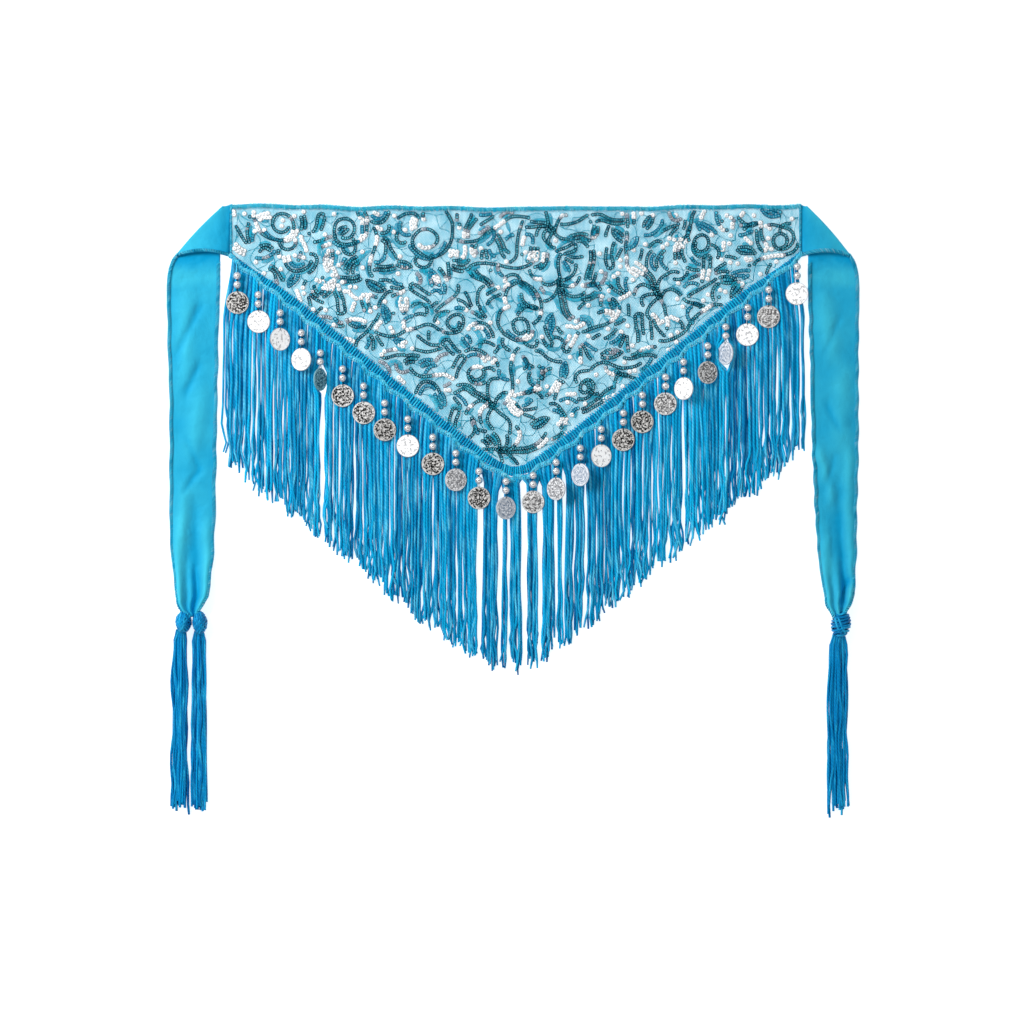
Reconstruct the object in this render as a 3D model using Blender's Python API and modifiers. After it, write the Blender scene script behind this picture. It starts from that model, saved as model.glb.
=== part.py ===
"""A fringed waist chain laid flat: a pointed net panel with two ties, long cord fringe, and coins on beaded threads.

X runs along the waist, Y from the fringe up to the waist, and Z up from the surface it lies on.
The origin is on that surface, below the middle of the whole piece.
"""

from collections import namedtuple
from math import atan2, cos, exp, pi, radians, sin, sqrt
import random

import bmesh
import bpy
from mathutils import Vector

# Whole piece, in metres
COLLECTION = "Fringe_Waist_Chain"
TOP_EDGE = 0.2710
HALF_SPREAD = 0.3044
SEAM_GAP = 0.0003
RIM_LIFT = 0.00035

# Net panel: a short side, then two straight slanting edges and a round tip
PANEL_LEFT, PANEL_RIGHT = -0.2482, 0.2528
PANEL_THICK = 0.0012
PANEL_TOP_SAG = 0.0025
TOP_POINTS, EDGE_POINTS = 12, 40
TIP_X, TIP_Y = 0.0015, 0.0168
TIP_ROUND = 0.0150
EDGE_SLOPE = 0.8254
PANEL_INSET = 0.0045

# Heading: a narrow corded strip that is sewn over the panel's slanting edge
HEADING_RISE = 0.0105
HEADING_THICK = 0.0015
HEADING_Z = PANEL_THICK + SEAM_GAP
STEP_DEPTH = 0.0022
STEEP_SHARE = 0.38
END_TAPER, END_TAPER_RUN = 0.35, 0.060

# Fringe
STRANDS_A_SIDE = 78
STRAND_PITCH, STRAND_WIDE, STRAND_THICK = 0.00316, 0.0020, 0.0015
LOW_LAYER, HIGH_LAYER = RIM_LIFT, 0.0020
FRINGE_RAGGED = 0.0045
TIP_RUN = 0.060
END_TRIM, END_TRIM_RUN = 0.010, 0.010
FRINGE_STATIONS = (0.09, 0.52, 1.0)
SWAY, SWAY_RUN = 0.0012, 0.070
SPREAD_SPEED = 3
END_SPREAD, END_SPREAD_RUN = 0.0070, 0.018
UPPER_EVERY = 4

# Charms: two beads on a thread, and a thin coin with a hole
COIN_RADIUS, COIN_THICK, COIN_SIDES = 0.0100, 0.0012, 16
COIN_HOLE_RADIUS, COIN_HOLE_SIDES, COIN_HOLE_UP = 0.0009, 6, 0.0080
BEAD_RADIUS, BEAD_PITCH, BEAD_SIDES = 0.00335, 0.0079, 6
BEAD_ABOVE_COIN = 0.0155
BEAD_SHOULDER = 0.45
THREAD_RADIUS = 0.00045
STANDING_TURN = 50

# Each coin's centre, and how far it is turned about its own upright line, in degrees
Charm = namedtuple("Charm", "x y turn")
CHARMS = (
    Charm(-0.2420, 0.1839, 0),
    Charm(-0.2235, 0.1672, 0),
    Charm(-0.2042, 0.1514, 36),
    Charm(-0.1857, 0.1338, -27),
    Charm(-0.1690, 0.1162, 60),
    Charm(-0.1496, 0.1021, 0),
    Charm(-0.1311, 0.0871, 0),
    Charm(-0.1126, 0.0722, 8),
    Charm(-0.0924, 0.0581, 0),
    Charm(-0.0704, 0.0422, 0),
    Charm(-0.0502, 0.0282, 20),
    Charm(-0.0299, 0.0123, 0),
    Charm(-0.0062, 0.0035, 32),
    Charm(0.0176, 0.0088, 0),
    Charm(0.0378, 0.0202, -38),
    Charm(0.0590, 0.0326, -41),
    Charm(0.0774, 0.0493, 27),
    Charm(0.0968, 0.0634, 0),
    Charm(0.1135, 0.0792, 0),
    Charm(0.1338, 0.0950, 0),
    Charm(0.1496, 0.1082, -38),
    Charm(0.1707, 0.1223, 28),
    Charm(0.1866, 0.1390, -55),
    Charm(0.2059, 0.1558, 0),
    Charm(0.2244, 0.1716, 0),
    Charm(0.2494, 0.1918, 0),
)

# Ties: a strip that turns under at a slanting fold and then hangs straight down
CLOTH = 0.0010
ACROSS = 8
SEAM_TOP, SEAM_LOW = 0.2704, 0.2235
FOLD_TOP, FOLD_LOW = 0.2688, 0.2273
FOLD_OUT = 0.2960
FOLD_HIGH_Z, FOLD_LOW_Z = 0.0022, CLOTH / 2
FOLD_BULGE = 0.0008
LOWER_ARCH = 0.0020
RISE_RUN = 0.0040
UPPER_ROWS, TURN_ROWS, UNDER_ROWS = 4, 3, 3
INNER_CORNER_Y, OUTER_CORNER_Y = 0.2588, 0.2170
CREASE_SPREAD = 0.13
GATHER_WAVES = 2.5

# One row for each width of the hanging stretch: height, the distances of both edges from the
# middle line, how far the cloth is lifted, and how deep its lengthwise gathers are
TieRow = namedtuple("TieRow", "y inner outer lift gather")
LEFT_ROWS = (
    TieRow(0.1960, 0.2578, HALF_SPREAD, 0.0, 0.0),
    TieRow(0.1700, 0.2590, 0.3040, 0.0, 0.0),
    TieRow(0.1450, 0.2596, 0.3034, 0.0, 0.0),
    TieRow(0.1200, 0.2600, 0.3026, 0.0, 0.0),
    TieRow(0.0950, 0.2605, 0.3018, 0.0, 0.0),
    TieRow(0.0700, 0.2609, 0.3018, 0.0, 0.0),
    TieRow(0.0450, 0.2614, 0.3018, 0.0, 0.0),
    TieRow(0.0200, 0.2618, 0.3018, 0.0, 0.0),
    TieRow(-0.0070, 0.2622, 0.3018, 0.0, 0.0004),
    TieRow(-0.0300, 0.2633, 0.3007, 0.0006, 0.0010),
    TieRow(-0.0480, 0.2647, 0.2993, 0.0018, 0.0018),
    TieRow(-0.0620, 0.2660, 0.2972, 0.0036, 0.0026),
    TieRow(-0.0750, 0.2688, 0.2959, 0.0060, 0.0030),
    TieRow(-0.0865, 0.2730, 0.2906, 0.0086, 0.0024),
)
RIGHT_ROWS = (
    TieRow(0.1960, 0.2596, HALF_SPREAD, 0.0, 0.0),
    TieRow(0.1700, 0.2604, 0.3040, 0.0, 0.0),
    TieRow(0.1450, 0.2614, 0.3036, 0.0, 0.0),
    TieRow(0.1200, 0.2618, 0.3036, 0.0, 0.0),
    TieRow(0.0950, 0.2622, 0.3036, 0.0, 0.0),
    TieRow(0.0700, 0.2630, 0.3036, 0.0, 0.0),
    TieRow(0.0450, 0.2640, 0.3034, 0.0, 0.0),
    TieRow(0.0200, 0.2650, 0.3026, 0.0, 0.0),
    TieRow(-0.0070, 0.2666, 0.3018, 0.0, 0.0004),
    TieRow(-0.0300, 0.2680, 0.3018, 0.0006, 0.0010),
    TieRow(-0.0480, 0.2694, 0.3007, 0.0018, 0.0018),
    TieRow(-0.0620, 0.2710, 0.2990, 0.0036, 0.0026),
    TieRow(-0.0750, 0.2726, 0.2985, 0.0060, 0.0030),
    TieRow(-0.0865, 0.2790, 0.2930, 0.0086, 0.0024),
)

# Soft ridges along each hanging stretch: middle, reach, place across (0 inner, 1 outer), lean, height
Crease = namedtuple("Crease", "y reach across lean height")
LEFT_CREASES = (
    Crease(0.150, 0.045, 0.62, -0.9, 0.0016),
    Crease(0.062, 0.050, 0.40, 1.4, 0.0013),
    Crease(-0.010, 0.040, 0.66, -0.6, 0.0018),
)
RIGHT_CREASES = (
    Crease(0.165, 0.040, 0.30, 1.0, 0.0015),
    Crease(0.080, 0.055, 0.68, -0.8, 0.0013),
    Crease(0.000, 0.045, 0.32, 0.7, 0.0018),
)

# Knots and their tassels
TASSEL_COLUMNS, TASSEL_LAYERS = 5, 3
TASSEL_PITCH, TASSEL_LAYER_PITCH = 0.0032, 0.0022
TASSEL_SETTLE, TASSEL_SPREAD = 0.72, 1.14
TASSEL_END, TASSEL_RAGGED, TASSEL_STRAY = -0.2570, 0.0060, 0.0100
TASSEL_STATIONS = (0.14, 0.55, 1.0)
KNOT_BOTTOM_GAP = 0.0040
KNOT_ANGLES = (22, 50, 80, 110, 138)

# Each knot's middle and half sizes, how far its top leans out, and where its tassel hangs
Knot = namedtuple("Knot", "name x y wide long deep lean hang seed")
KNOTS = (
    Knot("tassel_left_outer", -0.2890, -0.0965, 0.0073, 0.0097, 0.0082, 0.0, -0.2932, 3),
    Knot("tassel_left_inner", -0.2747, -0.0972, 0.0067, 0.0104, 0.0078, 0.0, -0.2763, 5),
    Knot("tassel_right", 0.2880, -0.0984, 0.0092, 0.0122, 0.0082, -0.0030, 0.2856, 8),
)

# Finishes: colour, roughness and metallic value
Finish = namedtuple("Finish", "colour roughness metallic")
FINISHES = {
    "net": Finish((0.36, 0.66, 0.74), 0.45, 0.0),
    "satin": Finish((0.02, 0.44, 0.68), 0.50, 0.0),
    "cord": Finish((0.01, 0.34, 0.62), 0.42, 0.0),
    "silver": Finish((0.78, 0.78, 0.80), 0.18, 1.0),
    "antique_silver": Finish((0.52, 0.51, 0.50), 0.38, 1.0),
}


def finish_material(name):
    """The Principled material of one finish, made once."""
    if name in bpy.data.materials:
        return bpy.data.materials[name]
    material = bpy.data.materials.new(name)
    material.use_nodes = True
    shader = material.node_tree.nodes["Principled BSDF"]
    shader.inputs["Base Color"].default_value = (*FINISHES[name].colour, 1.0)
    shader.inputs["Roughness"].default_value = FINISHES[name].roughness
    shader.inputs["Metallic"].default_value = FINISHES[name].metallic
    return material


def place(name, data, finish):
    """Adds the data to the piece's collection as one named object."""
    obj = bpy.data.objects.new(name, data)
    bpy.data.collections[COLLECTION].objects.link(obj)
    if not data.materials:
        data.materials.append(finish_material(finish))
    return obj


def place_solid(name, bm, finish, sharp=40):
    """Closes off a hand-lofted solid: faces outwards, smooth but for its sharp edges."""
    bmesh.ops.recalc_face_normals(bm, faces=bm.faces)
    mesh = bpy.data.meshes.new(name)
    bm.to_mesh(mesh)
    bm.free()
    mesh.shade_smooth()
    mesh.set_sharp_from_angle(angle=radians(sharp))
    return place(name, mesh, finish)


def mix(a, b, share):
    return a + (b - a) * share


def ease(share):
    """0 to 1 with a soft start and end."""
    share = min(max(share, 0.0), 1.0)
    return share * share * (3 - 2 * share)


def bridge(bm, ring, following):
    """Joins two rings of equally many points."""
    for i, corner in enumerate(ring):
        after = (i + 1) % len(ring)
        bm.faces.new((corner, ring[after], following[after], following[i]))


def edge_middle(x):
    """Height of the corded edge at x: two slanting runs that a round tip joins."""
    return TIP_Y + EDGE_SLOPE * sqrt((x - TIP_X) ** 2 + TIP_ROUND**2)


def end_share(x):
    """The heading narrows towards both ends of the waist."""
    from_end = min(x - PANEL_LEFT, PANEL_RIGHT - x)
    return mix(END_TAPER, 1.0, ease(from_end / END_TAPER_RUN))


def step(x):
    """How far the stepped lower edge stands above its middle line: it drops steeply at each charm."""
    outward = -1 if x < TIP_X else 1
    places = sorted(outward * charm.x for charm in CHARMS if (charm.x < TIP_X) == (x < TIP_X))
    away = outward * x
    below = [place_x for place_x in places if place_x <= away]
    above = [place_x for place_x in places if place_x > away]
    low = below[-1] if below else above[0] - (above[1] - above[0])
    high = above[0] if above else below[-1] + (below[-1] - below[-2])
    phase = (away - low) / (high - low)
    half = STEEP_SHARE / 2
    if phase < half:
        return STEP_DEPTH * phase / half
    if phase > 1 - half:
        return STEP_DEPTH * (phase - 1) / half
    return STEP_DEPTH * (1 - 2 * (phase - half) / (1 - STEEP_SHARE))


def coin_height(charm):
    """Height of a coin's middle. One turned on edge has slipped between the strands."""
    turn = radians(abs(charm.turn))
    reach = COIN_RADIUS * sin(turn) + COIN_THICK / 2 * cos(turn)
    if abs(charm.turn) > STANDING_TURN:
        return LOW_LAYER + SEAM_GAP + reach
    return HIGH_LAYER + STRAND_THICK + SEAM_GAP + reach


def parted(low_x, high_x):
    """True where the lower edge of a coin on edge parts the strands."""
    for charm in CHARMS:
        if abs(charm.turn) <= STANDING_TURN:
            continue
        side = 1 if charm.turn > 0 else -1
        turn = radians(abs(charm.turn))
        lowest = charm.x + side * COIN_RADIUS * cos(turn)
        cleared = lowest - side * (HIGH_LAYER + STRAND_THICK) / sin(turn) * cos(turn)
        slot = sorted((lowest + side * COIN_THICK, cleared - side * COIN_THICK))
        if high_x > slot[0] and low_x < slot[1]:
            return True
    return False


def panel():
    """The net panel, as a flat outline: its top edge dips a little and its point is rounded."""
    curve = bpy.data.curves.new("panel", "CURVE")
    curve.dimensions = "2D"
    curve.fill_mode = "BOTH"
    curve.extrude = PANEL_THICK / 2
    outline = []
    for i in range(TOP_POINTS + 1):
        share = i / TOP_POINTS
        sag = PANEL_TOP_SAG * sin(pi * share)
        outline.append((mix(PANEL_LEFT, PANEL_RIGHT, share), TOP_EDGE - sag))
    for i in range(EDGE_POINTS + 1):
        x = mix(PANEL_RIGHT, PANEL_LEFT, i / EDGE_POINTS)
        outline.append((x, edge_middle(x) + PANEL_INSET * end_share(x)))
    spline = curve.splines.new("POLY")
    spline.points.add(len(outline) - 1)
    for point, (x, y) in zip(spline.points, outline):
        point.co = (x, y, 0.0, 1.0)
    spline.use_cyclic_u = True
    place("panel", curve, "net").location.z = PANEL_THICK / 2


def fringe(name, side, tip_length, length, seed):
    """A stepped corded heading with its strands, which curl over the panel's edge and hang straight."""
    draw = random.Random(seed)
    bm = bmesh.new()
    end = PANEL_RIGHT if side > 0 else PANEL_LEFT
    corners = []
    for k in range(STRANDS_A_SIDE):
        away = SEAM_GAP / 2 + STRAND_PITCH * k
        corners += [TIP_X + side * away, TIP_X + side * (away + STRAND_WIDE)]
    low, high, upper_low, upper_high = [], [], [], []
    for j, x in enumerate(corners):
        y = edge_middle(x) + step(x)
        low.append(bm.verts.new((x, y, HEADING_Z)))
        high.append(bm.verts.new((x, y, HEADING_Z + HEADING_THICK)))
        if j % UPPER_EVERY == 0 or j == len(corners) - 1:
            y = edge_middle(x) + HEADING_RISE * end_share(x)
            upper_low.append(bm.verts.new((x, y, HEADING_Z)))
            upper_high.append(bm.verts.new((x, y, HEADING_Z + HEADING_THICK)))
    for i in range(len(upper_low) - 1):
        run = slice(UPPER_EVERY * i, UPPER_EVERY * (i + 1) + 1)
        bm.faces.new((*high[run], upper_high[i + 1], upper_high[i]))
        bm.faces.new((*low[run], upper_low[i + 1], upper_low[i]))
        bm.faces.new((upper_low[i], upper_low[i + 1], upper_high[i + 1], upper_high[i]))
    bm.faces.new((low[0], high[0], upper_high[0], upper_low[0]))
    bm.faces.new((low[-1], high[-1], upper_high[-1], upper_low[-1]))
    for j in range(len(corners) - 1):
        first, second = sorted(corners[j : j + 2])
        if j % 2 or parted(first, second):
            bm.faces.new((low[j], low[j + 1], high[j + 1], high[j]))
            continue
        layer = HIGH_LAYER if (j // 2) % 2 else LOW_LAYER
        middle = (first + second) / 2
        reach = mix(tip_length, length, ease(abs(middle - TIP_X) / TIP_RUN))
        reach -= END_TRIM * exp(-abs(end - middle) / END_TRIM_RUN)
        reach += draw.uniform(-FRINGE_RAGGED, FRINGE_RAGGED)
        foot = edge_middle(middle) - reach
        ring = [low[j], low[j + 1], high[j + 1], high[j]]
        for station in FRINGE_STATIONS:
            spread = side * END_SPREAD * exp(-abs(end - middle) / END_SPREAD_RUN) * ease(SPREAD_SPEED * station)
            sway = SWAY * sin(2 * pi * middle / SWAY_RUN) * station + draw.uniform(-1, 1) * SEAM_GAP / 2
            y = mix(edge_middle(middle), foot, station)
            corner_x = (corners[j] + spread + sway, corners[j + 1] + spread + sway)
            following = [
                bm.verts.new((corner_x[0], y, layer)),
                bm.verts.new((corner_x[1], y, layer)),
                bm.verts.new((corner_x[1], y, layer + STRAND_THICK)),
                bm.verts.new((corner_x[0], y, layer + STRAND_THICK)),
            ]
            bridge(bm, ring, following)
            ring = following
        bm.faces.new(ring)
    place_solid(name, bm, "cord")


def coin_outline():
    """The coin's flat outline, with the hole that its thread goes through."""
    curve = bpy.data.curves.new("coin", "CURVE")
    curve.dimensions = "2D"
    curve.fill_mode = "BOTH"
    curve.extrude = COIN_THICK / 2
    for radius, sides, up in (
        (COIN_RADIUS, COIN_SIDES, 0.0),
        (COIN_HOLE_RADIUS, COIN_HOLE_SIDES, COIN_HOLE_UP),
    ):
        spline = curve.splines.new("POLY")
        spline.points.add(sides - 1)
        for i, point in enumerate(spline.points):
            angle = 2 * pi * i / sides
            point.co = (radius * sin(angle), up + radius * cos(angle), 0.0, 1.0)
        spline.use_cyclic_u = True
    return curve


def bead_string(name, charm):
    """A thread from the heading to the coin's rim, with two beads on it."""
    lower = charm.y + BEAD_ABOVE_COIN
    upper = lower + BEAD_PITCH
    bead_z = HIGH_LAYER + STRAND_THICK + SEAM_GAP + BEAD_RADIUS
    sewn_z = HEADING_Z + HEADING_THICK + SEAM_GAP + THREAD_RADIUS
    sewn_y = max(edge_middle(charm.x) + step(charm.x), upper + BEAD_RADIUS) + BEAD_RADIUS / 2
    stations = [(sewn_y, sewn_z, THREAD_RADIUS)]
    for middle in (upper, lower):
        for share in (1, BEAD_SHOULDER, -BEAD_SHOULDER, -1):
            radius = BEAD_RADIUS if abs(share) < 1 else THREAD_RADIUS
            stations.append((middle + share * BEAD_RADIUS, bead_z, radius))
    stations.append((charm.y + COIN_RADIUS + SEAM_GAP, coin_height(charm), THREAD_RADIUS))
    bm = bmesh.new()
    ring = None
    for y, z, radius in stations:
        angles = [2 * pi * (i + 0.5) / BEAD_SIDES for i in range(BEAD_SIDES)]
        following = [
            bm.verts.new((charm.x + radius * cos(angle), y, z + radius * sin(angle)))
            for angle in angles
        ]
        if ring:
            bridge(bm, ring, following)
        else:
            bm.faces.new(following)
        ring = following
    bm.faces.new(ring)
    place_solid(name, bm, "silver", sharp=60)


def charms():
    """Every coin and its beaded thread, from the left end of the waist to the right."""
    outline = coin_outline()
    for number, charm in enumerate(CHARMS, 1):
        coin = place(f"coin_{number:02d}", outline, "antique_silver")
        coin.location = (charm.x, charm.y, coin_height(charm))
        coin.rotation_euler = (0.0, radians(charm.turn), 0.0)
        bead_string(f"bead_string_{number:02d}", charm)


def ridge_height(creases, y, across):
    """How high the soft ridges lift the cloth at one point of the hanging stretch."""
    height = 0.0
    for crease in creases:
        along = (y - crease.y) / crease.reach
        offset = (across - crease.across - crease.lean * (y - crease.y)) / CREASE_SPREAD
        height += crease.height * exp(-along * along - offset * offset)
    return height


def quadratic(start, corner, end, share):
    return mix(mix(start, corner, share), mix(corner, end, share), share)


def tie(name, side, seam, fold_in, rows, creases):
    """A cloth strip from the panel's side: it turns under at a slanting fold and hangs to its knot."""
    fold_ends = Vector((fold_in, FOLD_TOP)), Vector((FOLD_OUT, FOLD_LOW))
    outward = Vector((1.0, 1.0)).normalized()
    lines = []
    for i in range(UPPER_ROWS):
        share = i / UPPER_ROWS
        inner = mix(Vector((seam, SEAM_TOP)), fold_ends[0], share)
        outer = mix(Vector((seam, SEAM_LOW)), fold_ends[1], share)
        outer.y += LOWER_ARCH * sin(pi * share)
        lines.append((inner, outer, None))
    for i in range(TURN_ROWS + 2):
        angle = pi * i / (TURN_ROWS + 1)
        bulge = outward * FOLD_BULGE * sin(angle)
        z = mix(FOLD_HIGH_Z, FOLD_LOW_Z, (1 - cos(angle)) / 2)
        lines.append((fold_ends[0] + bulge, fold_ends[1] + bulge, z))
    first = rows[0]
    hang_ends = Vector((first.inner, first.y)), Vector((first.outer, first.y))
    corners = Vector((first.inner, INNER_CORNER_Y)), Vector((first.outer, OUTER_CORNER_Y))
    for i in range(1, UNDER_ROWS + 1):
        share = i / (UNDER_ROWS + 1)
        inner, outer = (
            quadratic(start, corner, end, share)
            for start, corner, end in zip(fold_ends, corners, hang_ends)
        )
        lines.append((inner, outer, FOLD_LOW_Z))
    grid = []
    for inner, outer, z in lines:
        points = [mix(inner, outer, j / ACROSS) for j in range(ACROSS + 1)]
        rise = [mix(CLOTH / 2, FOLD_HIGH_Z, ease((p.x - seam) / RISE_RUN)) for p in points]
        grid.append([(side * p.x, p.y, up if z is None else z) for p, up in zip(points, rise)])
    for row in rows:
        line = []
        for j in range(ACROSS + 1):
            across = j / ACROSS
            gather = row.gather * sin(2 * pi * GATHER_WAVES * across)
            lift = row.lift + max(gather, -row.lift) + ridge_height(creases, row.y, across)
            line.append((side * mix(row.inner, row.outer, across), row.y, CLOTH / 2 + lift))
        grid.append(line)
    bm = bmesh.new()
    placed = [[bm.verts.new(point) for point in line] for line in grid]
    for above, below in zip(placed, placed[1:]):
        for j in range(ACROSS):
            bm.faces.new((above[j], above[j + 1], below[j + 1], below[j]))
    obj = place_solid(name, bm, "satin", sharp=60)
    wall = obj.modifiers.new("Cloth", "SOLIDIFY")
    wall.thickness = CLOTH
    wall.offset = 0.0


def rim_of(columns, rows):
    """The grid places around the rim of a patch of cells, in order."""
    rim = [(i, 0) for i in range(columns)] + [(columns, j) for j in range(rows)]
    rim += [(i, rows) for i in range(columns, 0, -1)] + [(0, j) for j in range(rows, 0, -1)]
    return rim


def tassel(knot):
    """A round knot wound with cord, and the strands that hang from it, in layers."""
    draw = random.Random(knot.seed)
    bm = bmesh.new()
    columns, layers = 2 * TASSEL_COLUMNS - 1, 2 * TASSEL_LAYERS - 1
    root = knot.y - knot.long - KNOT_BOTTOM_GAP
    half_span = (TASSEL_PITCH * (TASSEL_COLUMNS - 1) + STRAND_WIDE) / 2
    across = [
        knot.hang - half_span + TASSEL_PITCH * (i // 2) + STRAND_WIDE * (i % 2)
        for i in range(columns + 1)
    ]
    up = [
        RIM_LIFT + TASSEL_LAYER_PITCH * (j // 2) + STRAND_THICK * (j % 2)
        for j in range(layers + 1)
    ]
    patch = {
        (i, j): bm.verts.new((across[i], root, up[j]))
        for i in range(columns + 1)
        for j in range(layers + 1)
    }
    rim = rim_of(columns, layers)
    ring = None
    knot_z = RIM_LIFT + knot.deep
    for degrees in KNOT_ANGLES:
        angle = radians(degrees)
        y = knot.y + knot.long * cos(angle)
        x = knot.x + knot.lean * cos(angle)
        following = []
        for i, j in rim:
            turn = atan2(2 * j / layers - 1, 2 * i / columns - 1)
            reach = sin(angle)
            point = (x + knot.wide * reach * cos(turn), y, knot_z + knot.deep * reach * sin(turn))
            following.append(bm.verts.new(point))
        if ring:
            bridge(bm, ring, following)
        else:
            bm.faces.new(following)
        ring = following
    bridge(bm, ring, [patch[place_ij] for place_ij in rim])
    for i in range(columns):
        for j in range(layers):
            ring = [patch[i, j], patch[i + 1, j], patch[i + 1, j + 1], patch[i, j + 1]]
            if i % 2 or j % 2:
                bm.faces.new(ring)
                continue
            foot = TASSEL_END + draw.uniform(-TASSEL_RAGGED, TASSEL_RAGGED)
            if (i // 2, j // 2) == (knot.seed % TASSEL_COLUMNS, 0):
                foot = TASSEL_END - TASSEL_STRAY
            if knot is KNOTS[-1] and (i, j) == (2, 0):
                foot = -TOP_EDGE
            for station in TASSEL_STATIONS:
                shift = (across[i] + STRAND_WIDE / 2 - knot.hang) * (TASSEL_SPREAD - 1) * station
                shift += draw.uniform(-1, 1) * SEAM_GAP
                low = mix(up[j], RIM_LIFT + (up[j] - RIM_LIFT) * TASSEL_SETTLE, station)
                y = mix(root, foot, station)
                following = [
                    bm.verts.new((across[i] + shift, y, low)),
                    bm.verts.new((across[i + 1] + shift, y, low)),
                    bm.verts.new((across[i + 1] + shift, y, low + STRAND_THICK)),
                    bm.verts.new((across[i] + shift, y, low + STRAND_THICK)),
                ]
                bridge(bm, ring, following)
                ring = following
            bm.faces.new(ring)
    place_solid(knot.name, bm, "cord")


def main():
    for obj in list(bpy.data.objects):
        bpy.data.objects.remove(obj, do_unlink=True)
    bpy.context.scene.collection.children.link(bpy.data.collections.new(COLLECTION))
    panel()
    tie("tie_left", -1, SEAM_GAP - PANEL_LEFT, 0.2545, LEFT_ROWS, LEFT_CREASES)
    tie("tie_right", 1, PANEL_RIGHT + SEAM_GAP, 0.2575, RIGHT_ROWS, RIGHT_CREASES)
    fringe("fringe_left", -1, tip_length=0.171, length=0.179, seed=11)
    fringe("fringe_right", 1, tip_length=0.173, length=0.171, seed=12)
    charms()
    for knot in KNOTS:
        tassel(knot)


main()
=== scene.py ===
"""The looks of a fringed waist chain laid flat: net, sequins, satin ties, corded fringe, coins and beads.

All sizes are in metres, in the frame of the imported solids: X runs along the waist, Y from the fringe up
to the waist edge, and Z up from the surface that the piece lies on.
"""

from collections import namedtuple
from math import atan2, ceil, cos, exp, hypot, pi, radians, sin, sqrt
import random

import bmesh
import bpy
from mathutils import Euler, Matrix, Vector


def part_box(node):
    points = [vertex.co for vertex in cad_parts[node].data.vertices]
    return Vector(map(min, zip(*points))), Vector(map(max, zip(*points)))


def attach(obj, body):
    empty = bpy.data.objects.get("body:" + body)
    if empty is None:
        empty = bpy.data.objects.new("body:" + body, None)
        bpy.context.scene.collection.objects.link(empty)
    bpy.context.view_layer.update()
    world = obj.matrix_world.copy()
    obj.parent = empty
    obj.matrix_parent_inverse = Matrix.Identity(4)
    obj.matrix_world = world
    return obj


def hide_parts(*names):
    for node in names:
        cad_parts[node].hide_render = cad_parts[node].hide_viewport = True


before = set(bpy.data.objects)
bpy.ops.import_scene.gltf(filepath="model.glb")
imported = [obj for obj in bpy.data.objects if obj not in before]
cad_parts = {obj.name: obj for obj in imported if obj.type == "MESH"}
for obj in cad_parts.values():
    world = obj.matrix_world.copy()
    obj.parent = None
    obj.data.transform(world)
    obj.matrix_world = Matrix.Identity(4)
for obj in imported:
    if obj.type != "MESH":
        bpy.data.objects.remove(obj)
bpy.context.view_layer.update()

# Camera: straight above, as in the photograph, whose frame takes in a square of this width
FIELD_WIDE, FIELD_MIDDLE_X = 0.9011, -0.0009
LENS, SENSOR, CLIP_NEAR, CLIP_FAR = 100.0, 36.0, 0.05, 30.0
FLOOR_SIZE, FLOOR_DROP = 8.0, 0.0003

# Studio light: a softly glowing table, a sky that darkens near the horizon, and a dim spot straight above
SKY_STRENGTH, SKY_LOW, SKY_BOOM = 0.98, 0.10, 0.04
HORIZON_DARK, HORIZON_BRIGHT = 0.34, 0.60
BOOM_WIDE, BOOM_DEEP = 0.80, 0.40
LAMP_POWER, LAMP_SIZE, LAMP_PLACE = 34.0, 1.1, (-1.4, 0.8, 1.3)
FLOOR_DARK, FLOOR_LIGHT, FLOOR_GLOW = (0.57, 0.57, 0.57), (0.59, 0.59, 0.59), 0.84

# Waist and panel, as in the solids
TOP_EDGE, PANEL_TOP_SAG = 0.2710, 0.0025
PANEL_LEFT, PANEL_RIGHT = -0.2482, 0.2528
TIP_X, TIP_Y, TIP_ROUND, EDGE_SLOPE = 0.0015, 0.0168, 0.0150, 0.8254
PANEL_INSET = 0.0045
HEADING_RISE, STEP_DEPTH, STEEP_SHARE = 0.0105, 0.0022, 0.38
END_TAPER, END_TAPER_RUN = 0.35, 0.060
HALF_SPREAD, SEAM_GAP = 0.3044, 0.0003

# Net
NET_Z, NET_THICK, NET_RIPPLE = 0.00072, 0.0004, 0.00022
NET_COLUMNS, NET_ROWS = 170, 64
NET_PITCH, NET_THREAD_SHARE = 0.0011, 0.55

# Sequins, in rows that overlap
SEQUIN_RADIUS, SEQUIN_HOLE, SEQUIN_THICK, SEQUIN_CUP = 0.00172, 0.00040, 0.00016, 0.00022
SEQUIN_SIDES, SEQUIN_Z = 8, 0.00150
SEQUIN_SHINGLE, SEQUIN_TILT = 6.0, 7.0
ROW_PITCH = 0.0031

# Coins and beads
COIN_RADIUS, COIN_THICK, COIN_HOLE_UP, COIN_HOLE_RADIUS = 0.0100, 0.0012, 0.0080, 0.0009
COIN_RINGS, COIN_SPOKES, COIN_RELIEF, COIN_EDGE_DROP = 15, 60, 0.00030, 0.0002
COIN_COUNT = 26
BEAD_RADIUS, BEAD_PITCH, BEAD_ABOVE_COIN = 0.00335, 0.0079, 0.0155
BEAD_RINGS, BEAD_SPOKES, BEAD_BORE = 12, 22, 0.0006
TALL_BEAD, LOW_BEAD_SHARE = 0.009, 0.866
THREAD_RADIUS, THREAD_CLEAR = 0.00028, 0.0004

# Cord
CORD_SIDES, CORD_FLAT = 6, 0.86
TWIST_PITCH, TWIST_PLIES = 0.0034, 2.0

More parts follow.
